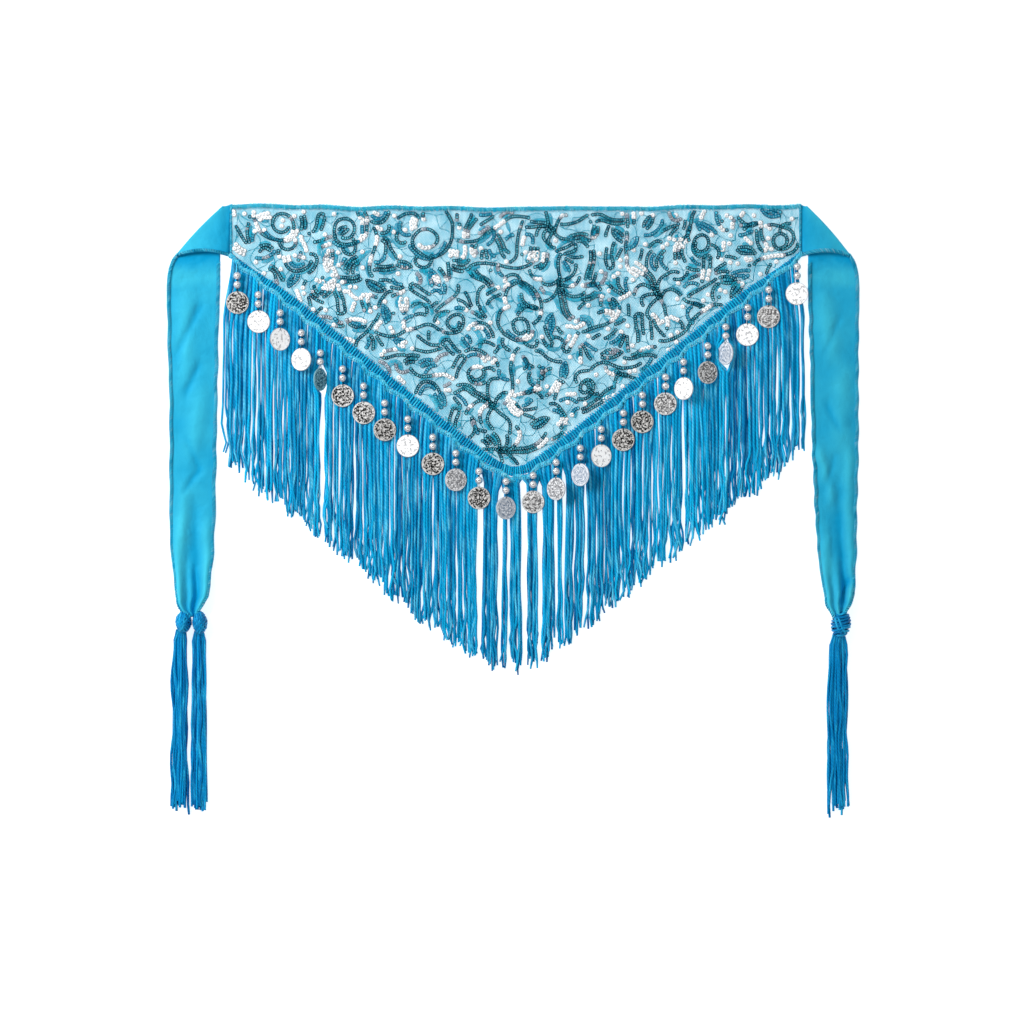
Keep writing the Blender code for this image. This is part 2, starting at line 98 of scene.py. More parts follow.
# Shades that several materials take, and how much of the ground the net covers
GLOSS_TINT = (0.12, 0.60, 0.85)
# Satin: its painted shade and painted light, between which the folds and some random unevenness choose
SATIN_DEEP, SATIN_LIGHT = (0.001, 0.325, 0.625), (0.050, 0.540, 0.735)
# The net's two shades and covers are picked by patches: partly its own unevenness, partly painted shade of
# soft wrinkles
NET_DEEP, NET_LIGHT = (0.005, 0.440, 0.620), (0.190, 0.610, 0.745)
NET_COVER_DEEP, NET_COVER_LIGHT = 0.85, 0.55
STITCH_DARK = (0.010, 0.030, 0.040)

# Cloth of the ties
CLOTH, CLOTH_SHOWN = 0.0010, 0.0006

TURN = 2 * pi


def mix(a, b, share):
    return a + (b - a) * share


def clamp(value, low=0.0, high=1.0):
    return min(max(value, low), high)


def steps(count):
    """Even shares from 0 to 1."""
    return [i / count for i in range(count + 1)]


def ease(share):
    """0 to 1 with a soft start and end."""
    share = clamp(share)
    return share * share * (3 - 2 * share)


def edge_middle(x):
    """Height of the corded edge at x: two slanting runs that a round tip joins."""
    return TIP_Y + EDGE_SLOPE * sqrt((x - TIP_X) ** 2 + TIP_ROUND**2)


def end_share(x):
    """The heading narrows towards both ends of the waist."""
    from_end = min(x - PANEL_LEFT, PANEL_RIGHT - x)
    return mix(END_TAPER, 1.0, ease(from_end / END_TAPER_RUN))


def panel_share(x):
    return (x - PANEL_LEFT) / (PANEL_RIGHT - PANEL_LEFT)


def top_line(x):
    """Height of the waist edge, which dips a little."""
    return TOP_EDGE - PANEL_TOP_SAG * sin(pi * panel_share(x))


CoinPlace = namedtuple("CoinPlace", "x y z turn")


def coin_place(number):
    """Where a coin's solid lies, and how far it is turned about its own upright line."""
    name = f"coin_{number:02d}"
    low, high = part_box(name)
    flat_face = max(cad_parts[name].data.polygons, key=lambda polygon: polygon.area)
    normal = flat_face.normal * (1 if flat_face.normal.z > 0 else -1)
    return CoinPlace(*(low + high) / 2, atan2(normal.x, normal.z))


COINS = [coin_place(number) for number in range(1, COIN_COUNT + 1)]


def step_phase(x):
    """The charms below and above x, going outwards, and how far x is from one to the other."""
    outward = -1 if x < TIP_X else 1
    places = sorted(outward * coin.x for coin in COINS if (coin.x < TIP_X) == (x < TIP_X))
    away = outward * x
    below = [place_x for place_x in places if place_x <= away]
    above = [place_x for place_x in places if place_x > away]
    low = below[-1] if below else above[0] - (above[1] - above[0])
    high = above[0] if above else below[-1] + (below[-1] - below[-2])
    return outward, low, high, (away - low) / (high - low)


def step(x):
    """How far the stepped lower edge stands above its middle line: it drops steeply at each charm."""
    phase = step_phase(x)[3]
    half = STEEP_SHARE / 2
    if phase < half:
        return STEP_DEPTH * phase / half
    if phase > 1 - half:
        return STEP_DEPTH * (phase - 1) / half
    return STEP_DEPTH * (1 - 2 * (phase - half) / (1 - STEEP_SHARE))


def wander(draw, reach, shortest, longest, waves=3):
    """A smooth random line: a few sines of unlike lengths, as a function of the distance along it."""
    parts = []
    for _ in range(waves):
        size, length = reach / waves * draw.uniform(0.6, 1.4), draw.uniform(shortest, longest)
        parts.append((size, TURN / length, draw.uniform(0, TURN)))
    return lambda along: sum(size * sin(rate * along + start) for size, rate, start in parts)


# Nodes, for the trees and for the materials

SOCKET_KINDS = {float: "NodeSocketFloat", int: "NodeSocketInt"}
GEOMETRY, MATERIAL = "NodeSocketGeometry", "NodeSocketMaterial"


def fill(tree, sockets, values):
    """Gives inputs their values: each is a number, a colour or another node's socket."""
    for key, value in values.items():
        socket = sockets[key.replace("_", " ") if isinstance(key, str) else key]
        if isinstance(value, bpy.types.NodeSocket):
            tree.links.new(value, socket)
        elif isinstance(value, tuple) and len(value) < len(socket.default_value):
            socket.default_value = (*value, 1.0)
        else:
            socket.default_value = value


def add_node(tree, kind, inputs=None, **settings):
    """Adds a node. Its inputs are named or numbered."""
    node = tree.nodes.new(kind)
    for name, value in settings.items():
        setattr(node, name, value)
    fill(tree, node.inputs, inputs or {})
    return node


def made(tree, kind, inputs=None, **settings):
    """Adds a node, and returns its first output."""
    return add_node(tree, kind, inputs, **settings).outputs[0]


def calculate(tree, operation, first, second=0.0, third=0.0):
    """One step of arithmetic."""
    return made(tree, "ShaderNodeMath", {0: first, 1: second, 2: third}, operation=operation)


def vector(tree, x=0.0, y=0.0, z=0.0):
    return made(tree, "ShaderNodeCombineXYZ", {0: x, 1: y, 2: z})


def length_of(tree, line):
    return add_node(tree, "ShaderNodeVectorMath", {0: line}, operation="LENGTH").outputs["Value"]


def blend_colours(tree, share, low, high, way="MIX"):
    inputs = {0: share, 6: low, 7: high}
    return add_node(tree, "ShaderNodeMix", inputs, data_type="RGBA", blend_type=way).outputs[2]


def rescale(tree, value, low, high, to_low=0.0, to_high=1.0):
    """Maps a range of values to another one, and holds it there."""
    return made(tree, "ShaderNodeMapRange", {0: value, 1: low, 2: high, 3: to_low, 4: to_high})


def new_group(name, inputs, outputs=("Geometry",)):
    """An empty node group. Each input has its value, or its kind of socket where it has no value."""
    for_shapes = "Geometry" in outputs
    group = bpy.data.node_groups.new(name, "GeometryNodeTree" if for_shapes else "ShaderNodeTree")
    for label, value in inputs.items():
        kind = SOCKET_KINDS.get(type(value), value)
        socket = group.interface.new_socket(label, in_out="INPUT", socket_type=kind)
        if kind != value:
            socket.default_value = value
    for label in outputs:
        kind = GEOMETRY if for_shapes else SOCKET_KINDS[float]
        group.interface.new_socket(label, in_out="OUTPUT", socket_type=kind)
    return group, add_node(group, "NodeGroupInput").outputs, add_node(group, "NodeGroupOutput").inputs


# Geometry Nodes


def new_tree(name, **values):
    """A tree that takes a shape, these values and a material."""
    return new_group(name, {"Geometry": GEOMETRY, **values, "Finish": MATERIAL})


def circle(tree, sides, radius):
    inputs = {"Resolution": sides, "Radius": radius}
    return made(tree, "GeometryNodeCurvePrimitiveCircle", inputs, mode="RADIUS")


def scaled(tree, shape, x, y):
    return made(tree, "GeometryNodeTransform", {"Geometry": shape, "Scale": vector(tree, x, y, 1.0)})


def stored(tree, shape, name, value, kind="FLOAT_VECTOR"):
    """Keeps a value with each point of a shape, for the materials."""
    inputs = {"Geometry": shape, "Name": name, "Value": value}
    return made(tree, "GeometryNodeStoreNamedAttribute", inputs, data_type=kind, domain="POINT")


def noted(tree, name, kind):
    return made(tree, "GeometryNodeInputNamedAttribute", {"Name": name}, data_type=kind)


def swept(tree, line, section, scale=1.0, caps=False):
    inputs = {"Curve": line, "Profile Curve": section, "Scale": scale, "Fill Caps": caps}
    return made(tree, "GeometryNodeCurveToMesh", inputs)


def turn_by(tree, angles):
    return made(tree, "FunctionNodeEulerToRotation", {0: angles})


def finish_tree(tree, given, result, shape):
    """Ends a tree: smooth faces, real geometry and its material."""
    smooth = made(tree, "GeometryNodeSetShadeSmooth", {"Geometry": shape})
    real = made(tree, "GeometryNodeRealizeInstances", {"Geometry": smooth})
    finished = made(tree, "GeometryNodeSetMaterial", {"Geometry": real, "Material": given["Finish"]})
    fill(tree, result, {"Geometry": finished})
    return tree


def sew(tree, given, result, points, shape, turns):
    """Ends a tree that puts a shape on each point."""
    inputs = {"Points": points, "Instance": shape, "Rotation": turns}
    return finish_tree(tree, given, result, made(tree, "GeometryNodeInstanceOnPoints", inputs))


def cord_tree():
    """Turns lines into cords: the points' own thickness, a flattened round section, and their material."""
    tree, given, result = new_tree("Cords along lines", Sides=CORD_SIDES, Flatness=CORD_FLAT)
    lines = made(tree, "GeometryNodeMeshToCurve", {"Mesh": given["Geometry"]})
    upright = made(tree, "GeometryNodeSetCurveNormal", {"Curve": lines}, mode="Z_UP")
    place = made(tree, "GeometryNodeInputPosition")
    section = stored(tree, circle(tree, given["Sides"], 1.0), "round", place)
    flat = scaled(tree, section, 1.0, given["Flatness"])
    return finish_tree(tree, given, result, swept(tree, upright, flat, noted(tree, "thick", "FLOAT"), True))


def sequin_tree():
    """Sews a cupped sequin with a hole on each point, turned as the point says."""
    tree, given, result = new_tree(
        "Sequins on points",
        Radius=SEQUIN_RADIUS,
        Hole=SEQUIN_HOLE,
        Thickness=SEQUIN_THICK,
        Cup=SEQUIN_CUP,
        Sides=SEQUIN_SIDES,
    )
    radius = given["Radius"]
    reach = calculate(tree, "DIVIDE", calculate(tree, "SUBTRACT", radius, given["Hole"]), 1.5)
    rail = circle(tree, given["Sides"], calculate(tree, "SUBTRACT", radius, reach))
    thinness = calculate(tree, "DIVIDE", given["Thickness"], calculate(tree, "MULTIPLY", reach, 1.7))
    ring = swept(tree, rail, scaled(tree, circle(tree, 3, reach), 1.0, thinness))
    inputs = {0: made(tree, "GeometryNodeInputPosition"), "Scale": calculate(tree, "DIVIDE", 1.0, radius)}
    spot = made(tree, "ShaderNodeVectorMath", inputs, operation="SCALE")
    sunk = calculate(tree, "MULTIPLY", calculate(tree, "SUBTRACT", length_of(tree, spot), 1.0), given["Cup"])
    inputs = {"Geometry": stored(tree, ring, "spot", spot), "Offset": vector(tree, z=sunk)}
    cupped = made(tree, "GeometryNodeSetPosition", inputs)
    points = made(tree, "GeometryNodeMeshToPoints", {"Mesh": given["Geometry"]})
    return sew(tree, given, result, points, cupped, turn_by(tree, noted(tree, "turn", "FLOAT_VECTOR")))


def stitch_tree():
    """Sews one loop of thread after another along a line: each loop is a ring that is scaled, then turned."""
    tree, given, result = new_tree(
        "Stitches along a line",
        Pitch=0.0015,
        Length=0.0010,
        Width=0.0010,
        Thread=0.0003,
        Roll=0.0,
        Slant=0.0,
        Spread=0.2,
        Seed=1,
    )
    lines = made(tree, "GeometryNodeMeshToCurve", {"Mesh": given["Geometry"]})
    inputs = {"Curve": lines, "Length": given["Pitch"]}
    places = add_node(tree, "GeometryNodeCurveToPoints", inputs, mode="LENGTH").outputs
    loop = scaled(tree, circle(tree, 9, 1.0), given["Length"], given["Width"])
    roll = turn_by(tree, vector(tree, y=given["Roll"], z=given["Slant"]))
    turned = made(tree, "GeometryNodeTransform", {"Geometry": loop, "Rotation": roll})
    ring = swept(tree, turned, circle(tree, 5, given["Thread"]))
    inputs = {2: 0.0, 3: 1.0, "Seed": given["Seed"]}
    chance = add_node(tree, "FunctionNodeRandomValue", inputs, data_type="FLOAT").outputs[1]
    toned = stored(tree, places["Points"], "tone", chance, "FLOAT")
    facing = made(tree, "FunctionNodeAlignRotationToVector", {"Vector": places["Tangent"]}, axis="X")
    wobble = calculate(tree, "MULTIPLY", calculate(tree, "SUBTRACT", chance, 0.5), given["Spread"])
    inputs = {0: facing, 1: turn_by(tree, vector(tree, x=wobble, z=wobble))}
    turns = made(tree, "FunctionNodeRotateRotation", inputs, rotation_space="LOCAL")
    return sew(tree, given, result, toned, ring, turns)


CORDS, SEQUINS, STITCHES = cord_tree(), sequin_tree(), stitch_tree()


# Effects that several materials share


def attribute(tree, name, result="Fac"):
    return add_node(tree, "ShaderNodeAttribute", attribute_name=name).outputs[result]


def own_place(tree):
    """Where a spot is, in the piece's own coordinates."""
    return add_node(tree, "ShaderNodeTexCoord").outputs["Object"]


def parts_of(tree, place):
    return add_node(tree, "ShaderNodeSeparateXYZ", {0: place}).outputs


def noise(tree, place, scale, detail=3.0):
    return add_node(tree, "ShaderNodeTexNoise", {"Vector": place, "Scale": scale, "Detail": detail}).outputs


def twist_group():
    """Plies that wind round a cord: their height, and a painted highlight that runs along them in stripes."""
    inputs = {"Pitch": TWIST_PITCH, "Plies": TWIST_PLIES}
    group, given, result = new_group("Twisted plies", inputs, ("Height", "Streaks"))
    around = parts_of(group, attribute(group, "round", "Vector"))
    angle = calculate(group, "DIVIDE", calculate(group, "ARCTAN2", around[1], around[0]), TURN)
    along, tone = attribute(group, "along"), attribute(group, "tone")
    turns = calculate(group, "DIVIDE", along, given["Pitch"])
    phase = calculate(group, "ADD", turns, calculate(group, "MULTIPLY", angle, given["Plies"]))
    wave = calculate(group, "SINE", calculate(group, "MULTIPLY", phase, TURN))
    stretches = (along, 45.0), (tone, 90.0), (around[0], 0.35)
    spot = vector(group, *(calculate(group, "MULTIPLY", part, stretch) for part, stretch in stretches))
    highlight_field = rescale(group, noise(group, spot, 1.0)[0], 0.3, 0.7)
    fill(group, result, {"Height": rescale(group, wave, -1.0, 1.0), "Streaks": highlight_field})
    return group


def weave_group():
    """Crossing threads of a plain cloth, on the piece's own coordinates."""
    group, given, result = new_group("Crossing threads", {"Pitch": 0.0005}, ("Height",))
    rate = calculate(group, "DIVIDE", TURN, given["Pitch"])
    parts = parts_of(group, own_place(group))
    waves = [calculate(group, "SINE", calculate(group, "MULTIPLY", parts[i], rate)) for i in range(2)]
    fill(group, result, {"Height": rescale(group, calculate(group, "MULTIPLY", *waves), -1.0, 1.0)})
    return group


def net_group():
    """Six-sided holes of a fine net: 1 on its threads and 0 in its holes."""
    inputs = {"Pitch": NET_PITCH, "Thread share": NET_THREAD_SHARE}
    group, given, result = new_group("Six-sided net", inputs, ("Threads", "Height"))
    place = own_place(group)
    bend = noise(group, place, 24.0, 1.0)["Color"]
    inputs = {0: bend, 1: (0.004, 0.004, 0.0), 2: place}
    pulled = made(group, "ShaderNodeVectorMath", inputs, operation="MULTIPLY_ADD")
    rate = calculate(group, "DIVIDE", TURN, given["Pitch"])
    total = None
    for degrees in (0, 60, 120):
        inputs = {0: pulled, 1: (cos(radians(degrees)), sin(radians(degrees)), 0.0)}
        reach = add_node(group, "ShaderNodeVectorMath", inputs, operation="DOT_PRODUCT").outputs["Value"]
        wave = calculate(group, "COSINE", calculate(group, "MULTIPLY", reach, rate))
        total = wave if total is None else calculate(group, "ADD", total, wave)
    holes = rescale(group, total, -1.5, 3.0)
    middle = calculate(group, "MULTIPLY", given["Thread share"], 0.62)
    ends = (calculate(group, way, middle, 0.05) for way in ("ADD", "SUBTRACT"))
    height = calculate(group, "SUBTRACT", 1.0, holes)
    fill(group, result, {"Threads": rescale(group, holes, *ends), "Height": height})
    return group


def blotch_group():
    """Soft uneven patches, from 0 to 1, of a named size."""
    group, given, result = new_group("Soft patches", {"Size": 0.01, "Contrast": 0.2}, ("Share",))
    rate = calculate(group, "DIVIDE", 1.0, given["Size"])
    patches = noise(group, own_place(group), rate)[0]
    ends = (calculate(group, way, 0.5, given["Contrast"]) for way in ("SUBTRACT", "ADD"))
    fill(group, result, {"Share": rescale(group, patches, *ends)})
    return group


def sequin_group():
    """The marks of a sewn sequin: 1 at its rim, which a painted shade darkens, and 1 on the thread that
    crosses its middle.
    """
    inputs = {"Edge from": 0.72, "Stitch wide": 0.16, "Stitch long": 0.60}
    group, given, result = new_group("Sequin marks", inputs, ("Edge", "Stitch"))
    spot = attribute(group, "spot", "Vector")
    edge_to = calculate(group, "ADD", given["Edge from"], 0.14)
    edge = rescale(group, length_of(group, spot), given["Edge from"], edge_to)
    shares = [
        calculate(group, "POWER", calculate(group, "DIVIDE", part, given[label]), 2.0)
        for part, label in zip(parts_of(group, spot), ("Stitch wide", "Stitch long"))
    ]
    stitch = rescale(group, calculate(group, "ADD", *shares), 1.3, 0.8)
    fill(group, result, {"Edge": edge, "Stitch": stitch})
    return group


TWIST, WEAVE, NET = twist_group(), weave_group(), net_group()
BLOTCH, SEQUIN_MARKS = blotch_group(), sequin_group()


# Materials

FINISH = {}


def new_material(name, **values):
    """A material with a Principled shader, whose sockets get these values."""
    material = FINISH[name] = bpy.data.materials.new(name)
    material.use_nodes = True
    shader = material.node_tree.nodes["Principled BSDF"].inputs
    fill(material.node_tree, shader, values)
    return material.node_tree, shader


def use_group(tree, group, **values):
    """Places a node group in a material, with its own values."""
    node = add_node(tree, "ShaderNodeGroup", node_tree=group)
    fill(tree, node.inputs, values)
    return node.outputs


def patches_of(tree, size, contrast):
    return use_group(tree, BLOTCH, Size=size, Contrast=contrast)[0]


def bump(tree, height, distance, **under):
    return made(tree, "ShaderNodeBump", {"Height": height, "Distance": distance, "Strength": 1.0, **under})


def cord_material(name, deep, middle, bright, pitch=TWIST_PITCH):
    """Glossy twisted rayon: each cord has its own tone, a painted highlight along it and painted shade
    between its plies.
    """
    tree, shader = new_material(name, Roughness=0.42, Specular_IOR_Level=0.30, Specular_Tint=GLOSS_TINT)
    plies = use_group(tree, TWIST, Pitch=pitch)
    own = blend_colours(tree, attribute(tree, "tone"), deep, middle)
    # Painted highlight: stripes along the cord blend its colour towards the bright shade.
    highlighted = blend_colours(tree, rescale(tree, plies["Streaks"], 0.5, 1.0, 0.0, 0.75), own, bright)
    # Painted shade: the cord is darkened in the groove between its plies.
    groove_shade = rescale(tree, plies["Height"], 0.0, 0.5, 0.80, 1.0)
    groove_shaded = blend_colours(tree, 1.0, highlighted, groove_shade, "MULTIPLY")
    fill(tree, shader, {"Base Color": groove_shaded, "Normal": bump(tree, plies["Height"], 0.00010)})
    return tree, shader


def silk_material():
    """Loose satin stitch: cyan threads side by side, thin enough in places for the net to show."""
    shades = (0.003, 0.390, 0.600), (0.014, 0.550, 0.780), (0.12, 0.70, 0.88)
    tree, shader = cord_material("satin_stitch", *shades, 0.0008)
    fill(tree, shader, {"Alpha": rescale(tree, patches_of(tree, 0.0011, 0.16), 0.0, 1.0, 0.12, 0.95)})


def satin_material():
    """Soft cyan satin, a little uneven in tone, with its fine weave, and painted light and shade that follow
    its folds.
    """
    tree, shader = new_material(
        "satin_cloth",
        Roughness=0.45,
        Specular_IOR_Level=0.25,
        Specular_Tint=GLOSS_TINT,
        Sheen_Weight=0.025,
        Sheen_Tint=(0.40, 0.85, 1.0),
    )
    wide = calculate(tree, "MULTIPLY_ADD", patches_of(tree, 0.030, 0.25), 0.36, -0.18)
    # The folds' painted light and shade, evened out by soft random patches
    share = rescale(tree, calculate(tree, "ADD", attribute(tree, "fold_light"), wide), 0.0, 1.0)
    crumpled = bump(tree, patches_of(tree, 0.012, 0.3), 0.0009)
    woven = bump(tree, use_group(tree, WEAVE, Pitch=0.00055)[0], 0.00003, Normal=crumpled)
    fill(tree, shader, {"Base Color": blend_colours(tree, share, SATIN_DEEP, SATIN_LIGHT), "Normal": woven})


def net_material():
    """Sheer pale net: teal threads with holes between them, in patches of tone and cover that are partly its
    own unevenness and partly painted shade of soft wrinkles.
    """
    tree, shader = new_material("fine_net", Roughness=0.6, Specular_IOR_Level=0.15)
    mesh = use_group(tree, NET)
    # Patches of deeper tone and denser cover: partly the net's own unevenness, partly painted shade of soft
    # wrinkles.
    patches = patches_of(tree, 0.016, 0.14)
    dense = rescale(tree, patches, 0.0, 1.0, NET_COVER_DEEP, NET_COVER_LIGHT)
    threads = rescale(tree, mesh["Threads"], 0.0, 1.0, 0.22, 1.0)
    looks = {
        "Base Color": blend_colours(tree, patches, NET_DEEP, NET_LIGHT),
        "Alpha": calculate(tree, "MULTIPLY", threads, dense),
        "Normal": bump(tree, mesh["Height"], 0.00012),
    }
    fill(tree, shader, looks)


def sequin_material(name, body, light, edge, edge_from, stitch, dot, roughness=0.35, coat=0.0, glow=0.0):
    """Foil sequins: a painted shade at the rim, the sewing thread across the middle, and a tone of their own.
    A glow, where given, is painted light.
    """
    tree, shader = new_material(
        name,
        Roughness=roughness,
        Specular_IOR_Level=0.06,
        Specular_Tint=GLOSS_TINT,
        Coat_Weight=coat,
        Coat_Roughness=0.12,
        # Emission: the glow is painted light that keeps pale sequins bright.
        Emission_Color=(0.9, 0.96, 1.0),
        Emission_Strength=glow,
    )
    marks = use_group(tree, SEQUIN_MARKS, Edge_from=edge_from, Stitch_wide=stitch[0], Stitch_long=stitch[1])
    own = blend_colours(tree, attribute(tree, "tone"), body, light)
    # Painted shade: the rim of each sequin is darkened.
    edged = blend_colours(tree, marks["Edge"], own, edge)
    stitched = blend_colours(tree, marks["Stitch"], edged, dot)
    crumpled = bump(tree, patches_of(tree, 0.0012, 0.25), 0.00002)
    fill(tree, shader, {"Base Color": stitched, "Normal": crumpled})


def coin_material(name, low, high, speck=0.0015, hollow=1.0, dent=1.0, sparse=0.0, edge=0.5, glow=0.0):
    """Stamped thin metal: painted shade in the hollows of its relief and round its outer edge, bright on what
    stands up, speckled with small dents. A glow, where given, is painted light.
    """
    tree, shader = new_material(
        name,
        Metallic=0.06,
        Specular_IOR_Level=0.06,
        # Emission: the glow is painted light that keeps bright coins white.
        Emission_Color=(0.96, 0.98, 1.0),
        Emission_Strength=glow,
    )
    dents = rescale(tree, patches_of(tree, speck, 0.05), sparse, 1.0)
    # Painted shade in the hollows of the relief.
    hollows = rescale(tree, attribute(tree, "relief"), 0.62, 0.30)
    marks = [calculate(tree, "MULTIPLY", mark, depth) for mark, depth in ((hollows, hollow), (dents, dent))]
    rim = attribute(tree, "rim")
    # The raised rim stays bright, and a painted shade darkens the outer edge.
    kept = calculate(tree, "SUBTRACT", 1.0, rescale(tree, rim, 0.88, 0.92, 0.0, 0.75))
    shade_and_specks = calculate(tree, "MULTIPLY", calculate(tree, "MAXIMUM", *marks), kept)
    shown = calculate(tree, "MAXIMUM", shade_and_specks, rescale(tree, rim, 0.92, 0.97, 0.0, edge))
    looks = {
        "Base Color": blend_colours(tree, shown, high, low),
        "Roughness": rescale(tree, shade_and_specks, 0.0, 1.0, 0.36, 0.56),
        "Normal": bump(tree, dents, 0.00010),
    }
    fill(tree, shader, looks)


def bead_material():
    """Silvered glass: bright, with a faint wear of its shine, and a painted shade that darkens the rim as it
    turns away from the view.
    """
    tree, shader = new_material("bead_silver", Metallic=0.60)
    wear = patches_of(tree, 0.002, 0.25)
    silver = blend_colours(tree, wear, (0.78, 0.78, 0.80), (0.93, 0.93, 0.95))
    # Painted shade: the rim, where the surface turns away from the view, is darkened.
    facing = add_node(tree, "ShaderNodeLayerWeight", {"Blend": 0.5}).outputs["Facing"]
    colour = blend_colours(tree, rescale(tree, facing, 0.60, 0.90), silver, (0.08, 0.07, 0.07))
    fill(tree, shader, {"Base Color": colour, "Roughness": rescale(tree, wear, 0.0, 1.0, 0.07, 0.14)})


def floor_material():
    """Pale paper that glows softly."""
    glow = {"Emission_Color": (0.90, 0.96, 1.0), "Emission_Strength": FLOOR_GLOW}
    tree, shader = new_material("floor_paper", Roughness=0.7, Specular_IOR_Level=0.2, **glow)
    grain = patches_of(tree, 0.25, 0.3)
    fill(tree, shader, {"Base Color": blend_colours(tree, grain, FLOOR_DARK, FLOOR_LIGHT)})


# Each row is a thread's name and its deep, middle and bright shades; the bright one is its painted highlight
CORD_SHADES = (
    ("fringe_cord", (0.001, 0.130, 0.370), (0.005, 0.500, 0.880), (0.170, 0.760, 1.000)),
    ("tassel_cord", (0.001, 0.100, 0.340), (0.003, 0.370, 0.780), (0.040, 0.620, 0.950)),
    ("heading_cord", (0.001, 0.270, 0.560), (0.012, 0.540, 0.850), (0.090, 0.710, 0.940)),
    # The backing shows between the ribs: its darker shades are partly its own colour and partly painted shade
    # of the gaps
    ("heading_backing", (0.001, 0.200, 0.450), (0.001, 0.260, 0.550), (0.003, 0.320, 0.640)),
    ("chain_thread", (0.020, 0.480, 0.780), (0.120, 0.700, 0.920), (0.440, 0.870, 0.970)),
    ("rolled_hem", (0.001, 0.180, 0.380), (0.002, 0.260, 0.490), (0.006, 0.360, 0.600)),
    ("waist_hem", (0.003, 0.260, 0.430), (0.014, 0.390, 0.570), (0.080, 0.550, 0.720)),
    ("overlock_thread", (0.008, 0.430, 0.670), (0.110, 0.730, 0.900), (0.450, 0.900, 0.970), 0.0011),
    ("drawn_thread", (0.004, 0.280, 0.420), (0.010, 0.400, 0.560), (0.026, 0.500, 0.660)),
    ("sewing_thread", (0.006, 0.020, 0.030), (0.010, 0.040, 0.060), (0.050, 0.100, 0.140)),
)
# Each sequin's shades are its body, its light tone, and the painted shade at its rim
INK = (0.003, 0.210, 0.350), (0.120, 0.660, 0.840), (0.000, 0.006, 0.014)
TEAL = (0.008, 0.340, 0.560), (0.110, 0.640, 0.840), (0.001, 0.100, 0.210)
WHITE = (0.930, 0.960, 0.970), (0.990, 0.995, 1.000), (0.380, 0.480, 0.520)
LILAC = (0.310, 0.370, 0.480), (0.730, 0.820, 0.890), (0.020, 0.050, 0.085)
# Each row is a coin's name, the shades of its hollows and of what stands up, its speck, hollow, dent, sparse,
# edge and glow, as far as they differ from the usual ones. The hollows' shade, hollow and edge are painted
# shade, and glow is painted light.
COIN_SHADES = (
    ("coin_bright", (0.12, 0.12, 0.13), (0.99, 0.99, 0.99), 0.0024, 0.14, 0.75, 0.90, 0.9, 0.30),
    ("coin_dark", (0.003, 0.003, 0.003), (0.82, 0.81, 0.79)),
    ("coin_antique", (0.003, 0.003, 0.003), (0.94, 0.93, 0.92)),
    ("coin_grey", (0.14, 0.22, 0.34), (0.94, 0.96, 1.0), 0.0018, 1.0, 0.55),
    ("coin_speckled", (0.025, 0.025, 0.028), (0.96, 0.96, 0.96), 0.0014, 0.8, 0.9),
    ("coin_pale", (0.10, 0.105, 0.12), (0.95, 0.96, 0.98), 0.0015, 0.75, 0.85),
    ("coin_teal", (0.003, 0.090, 0.150), (0.44, 0.80, 0.88), 0.0013, 0.8),
)
for shades in CORD_SHADES:
    cord_material(*shades)
for shades in COIN_SHADES:
    coin_material(*shades)
sequin_material("sequin_ink", *INK, 0.50, (0.12, 0.30), STITCH_DARK)
sequin_material("sequin_teal", *TEAL, 0.54, (0.12, 0.34), (0.002, 0.09, 0.17))
# White and lilac sequins glow a little: painted light.
sequin_material("sequin_white", *WHITE, 0.87, (0.20, 0.20), (0.26, 0.17, 0.16), 0.30, 0.20, 0.14)
sequin_material("sequin_lilac", *LILAC, 0.66, (0.16, 0.50), STITCH_DARK, 0.30, 0.15, 0.04)
for make in (silk_material, satin_material, net_material, bead_material, floor_material):
    make()


# Meshes and pieces


def show(name, data):
    """Puts an object with this data into the scene."""
    shown = bpy.data.objects.new(name, data)
    bpy.context.scene.collection.objects.link(shown)
    return shown


def keep_piece(name, mesh, replaced=()):
    """Makes a finished mesh a piece of the object, riding on its one body."""
    piece = show(name, mesh)
    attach(piece, "root")
    if replaced:
        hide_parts(*replaced)
    return piece


def note(mesh, label, values, kind="FLOAT"):
    """Keeps a value with each point of a mesh."""
    field = "value" if kind == "FLOAT" else "vector"
    mesh.attributes.new(label, kind, "POINT").data.foreach_set(field, values)


def mesh_from(bm, name, finish):
    """Ends a shape that was built face by face."""
    bmesh.ops.recalc_face_normals(bm, faces=bm.faces)
    mesh = bpy.data.meshes.new(name)
    bm.to_mesh(mesh)
    bm.free()
    mesh.shade_smooth()
    mesh.materials.append(FINISH[finish])
    return mesh


def cloth(name, rows, finish, thickness, replaced):
    """A piece of cloth over rows of points, with a real thickness."""
    bm = bmesh.new()
    placed = [[bm.verts.new(point) for point in row] for row in rows]
    for above, below in zip(placed, placed[1:]):
        for j in range(len(above) - 1):
            bm.faces.new((above[j], above[j + 1], below[j + 1], below[j]))
    piece = keep_piece(name, mesh_from(bm, name, finish), [replaced])
    wall = piece.modifiers.new("Cloth", "SOLIDIFY")
    wall.thickness, wall.offset = thickness, 0.0
    return piece


def band(bm, ring, following):
    """Faces between two rings of as many points."""
    for k in range(len(ring)):
        after = (k + 1) % len(ring)
        bm.faces.new((ring[k], ring[after], following[after], following[k]))


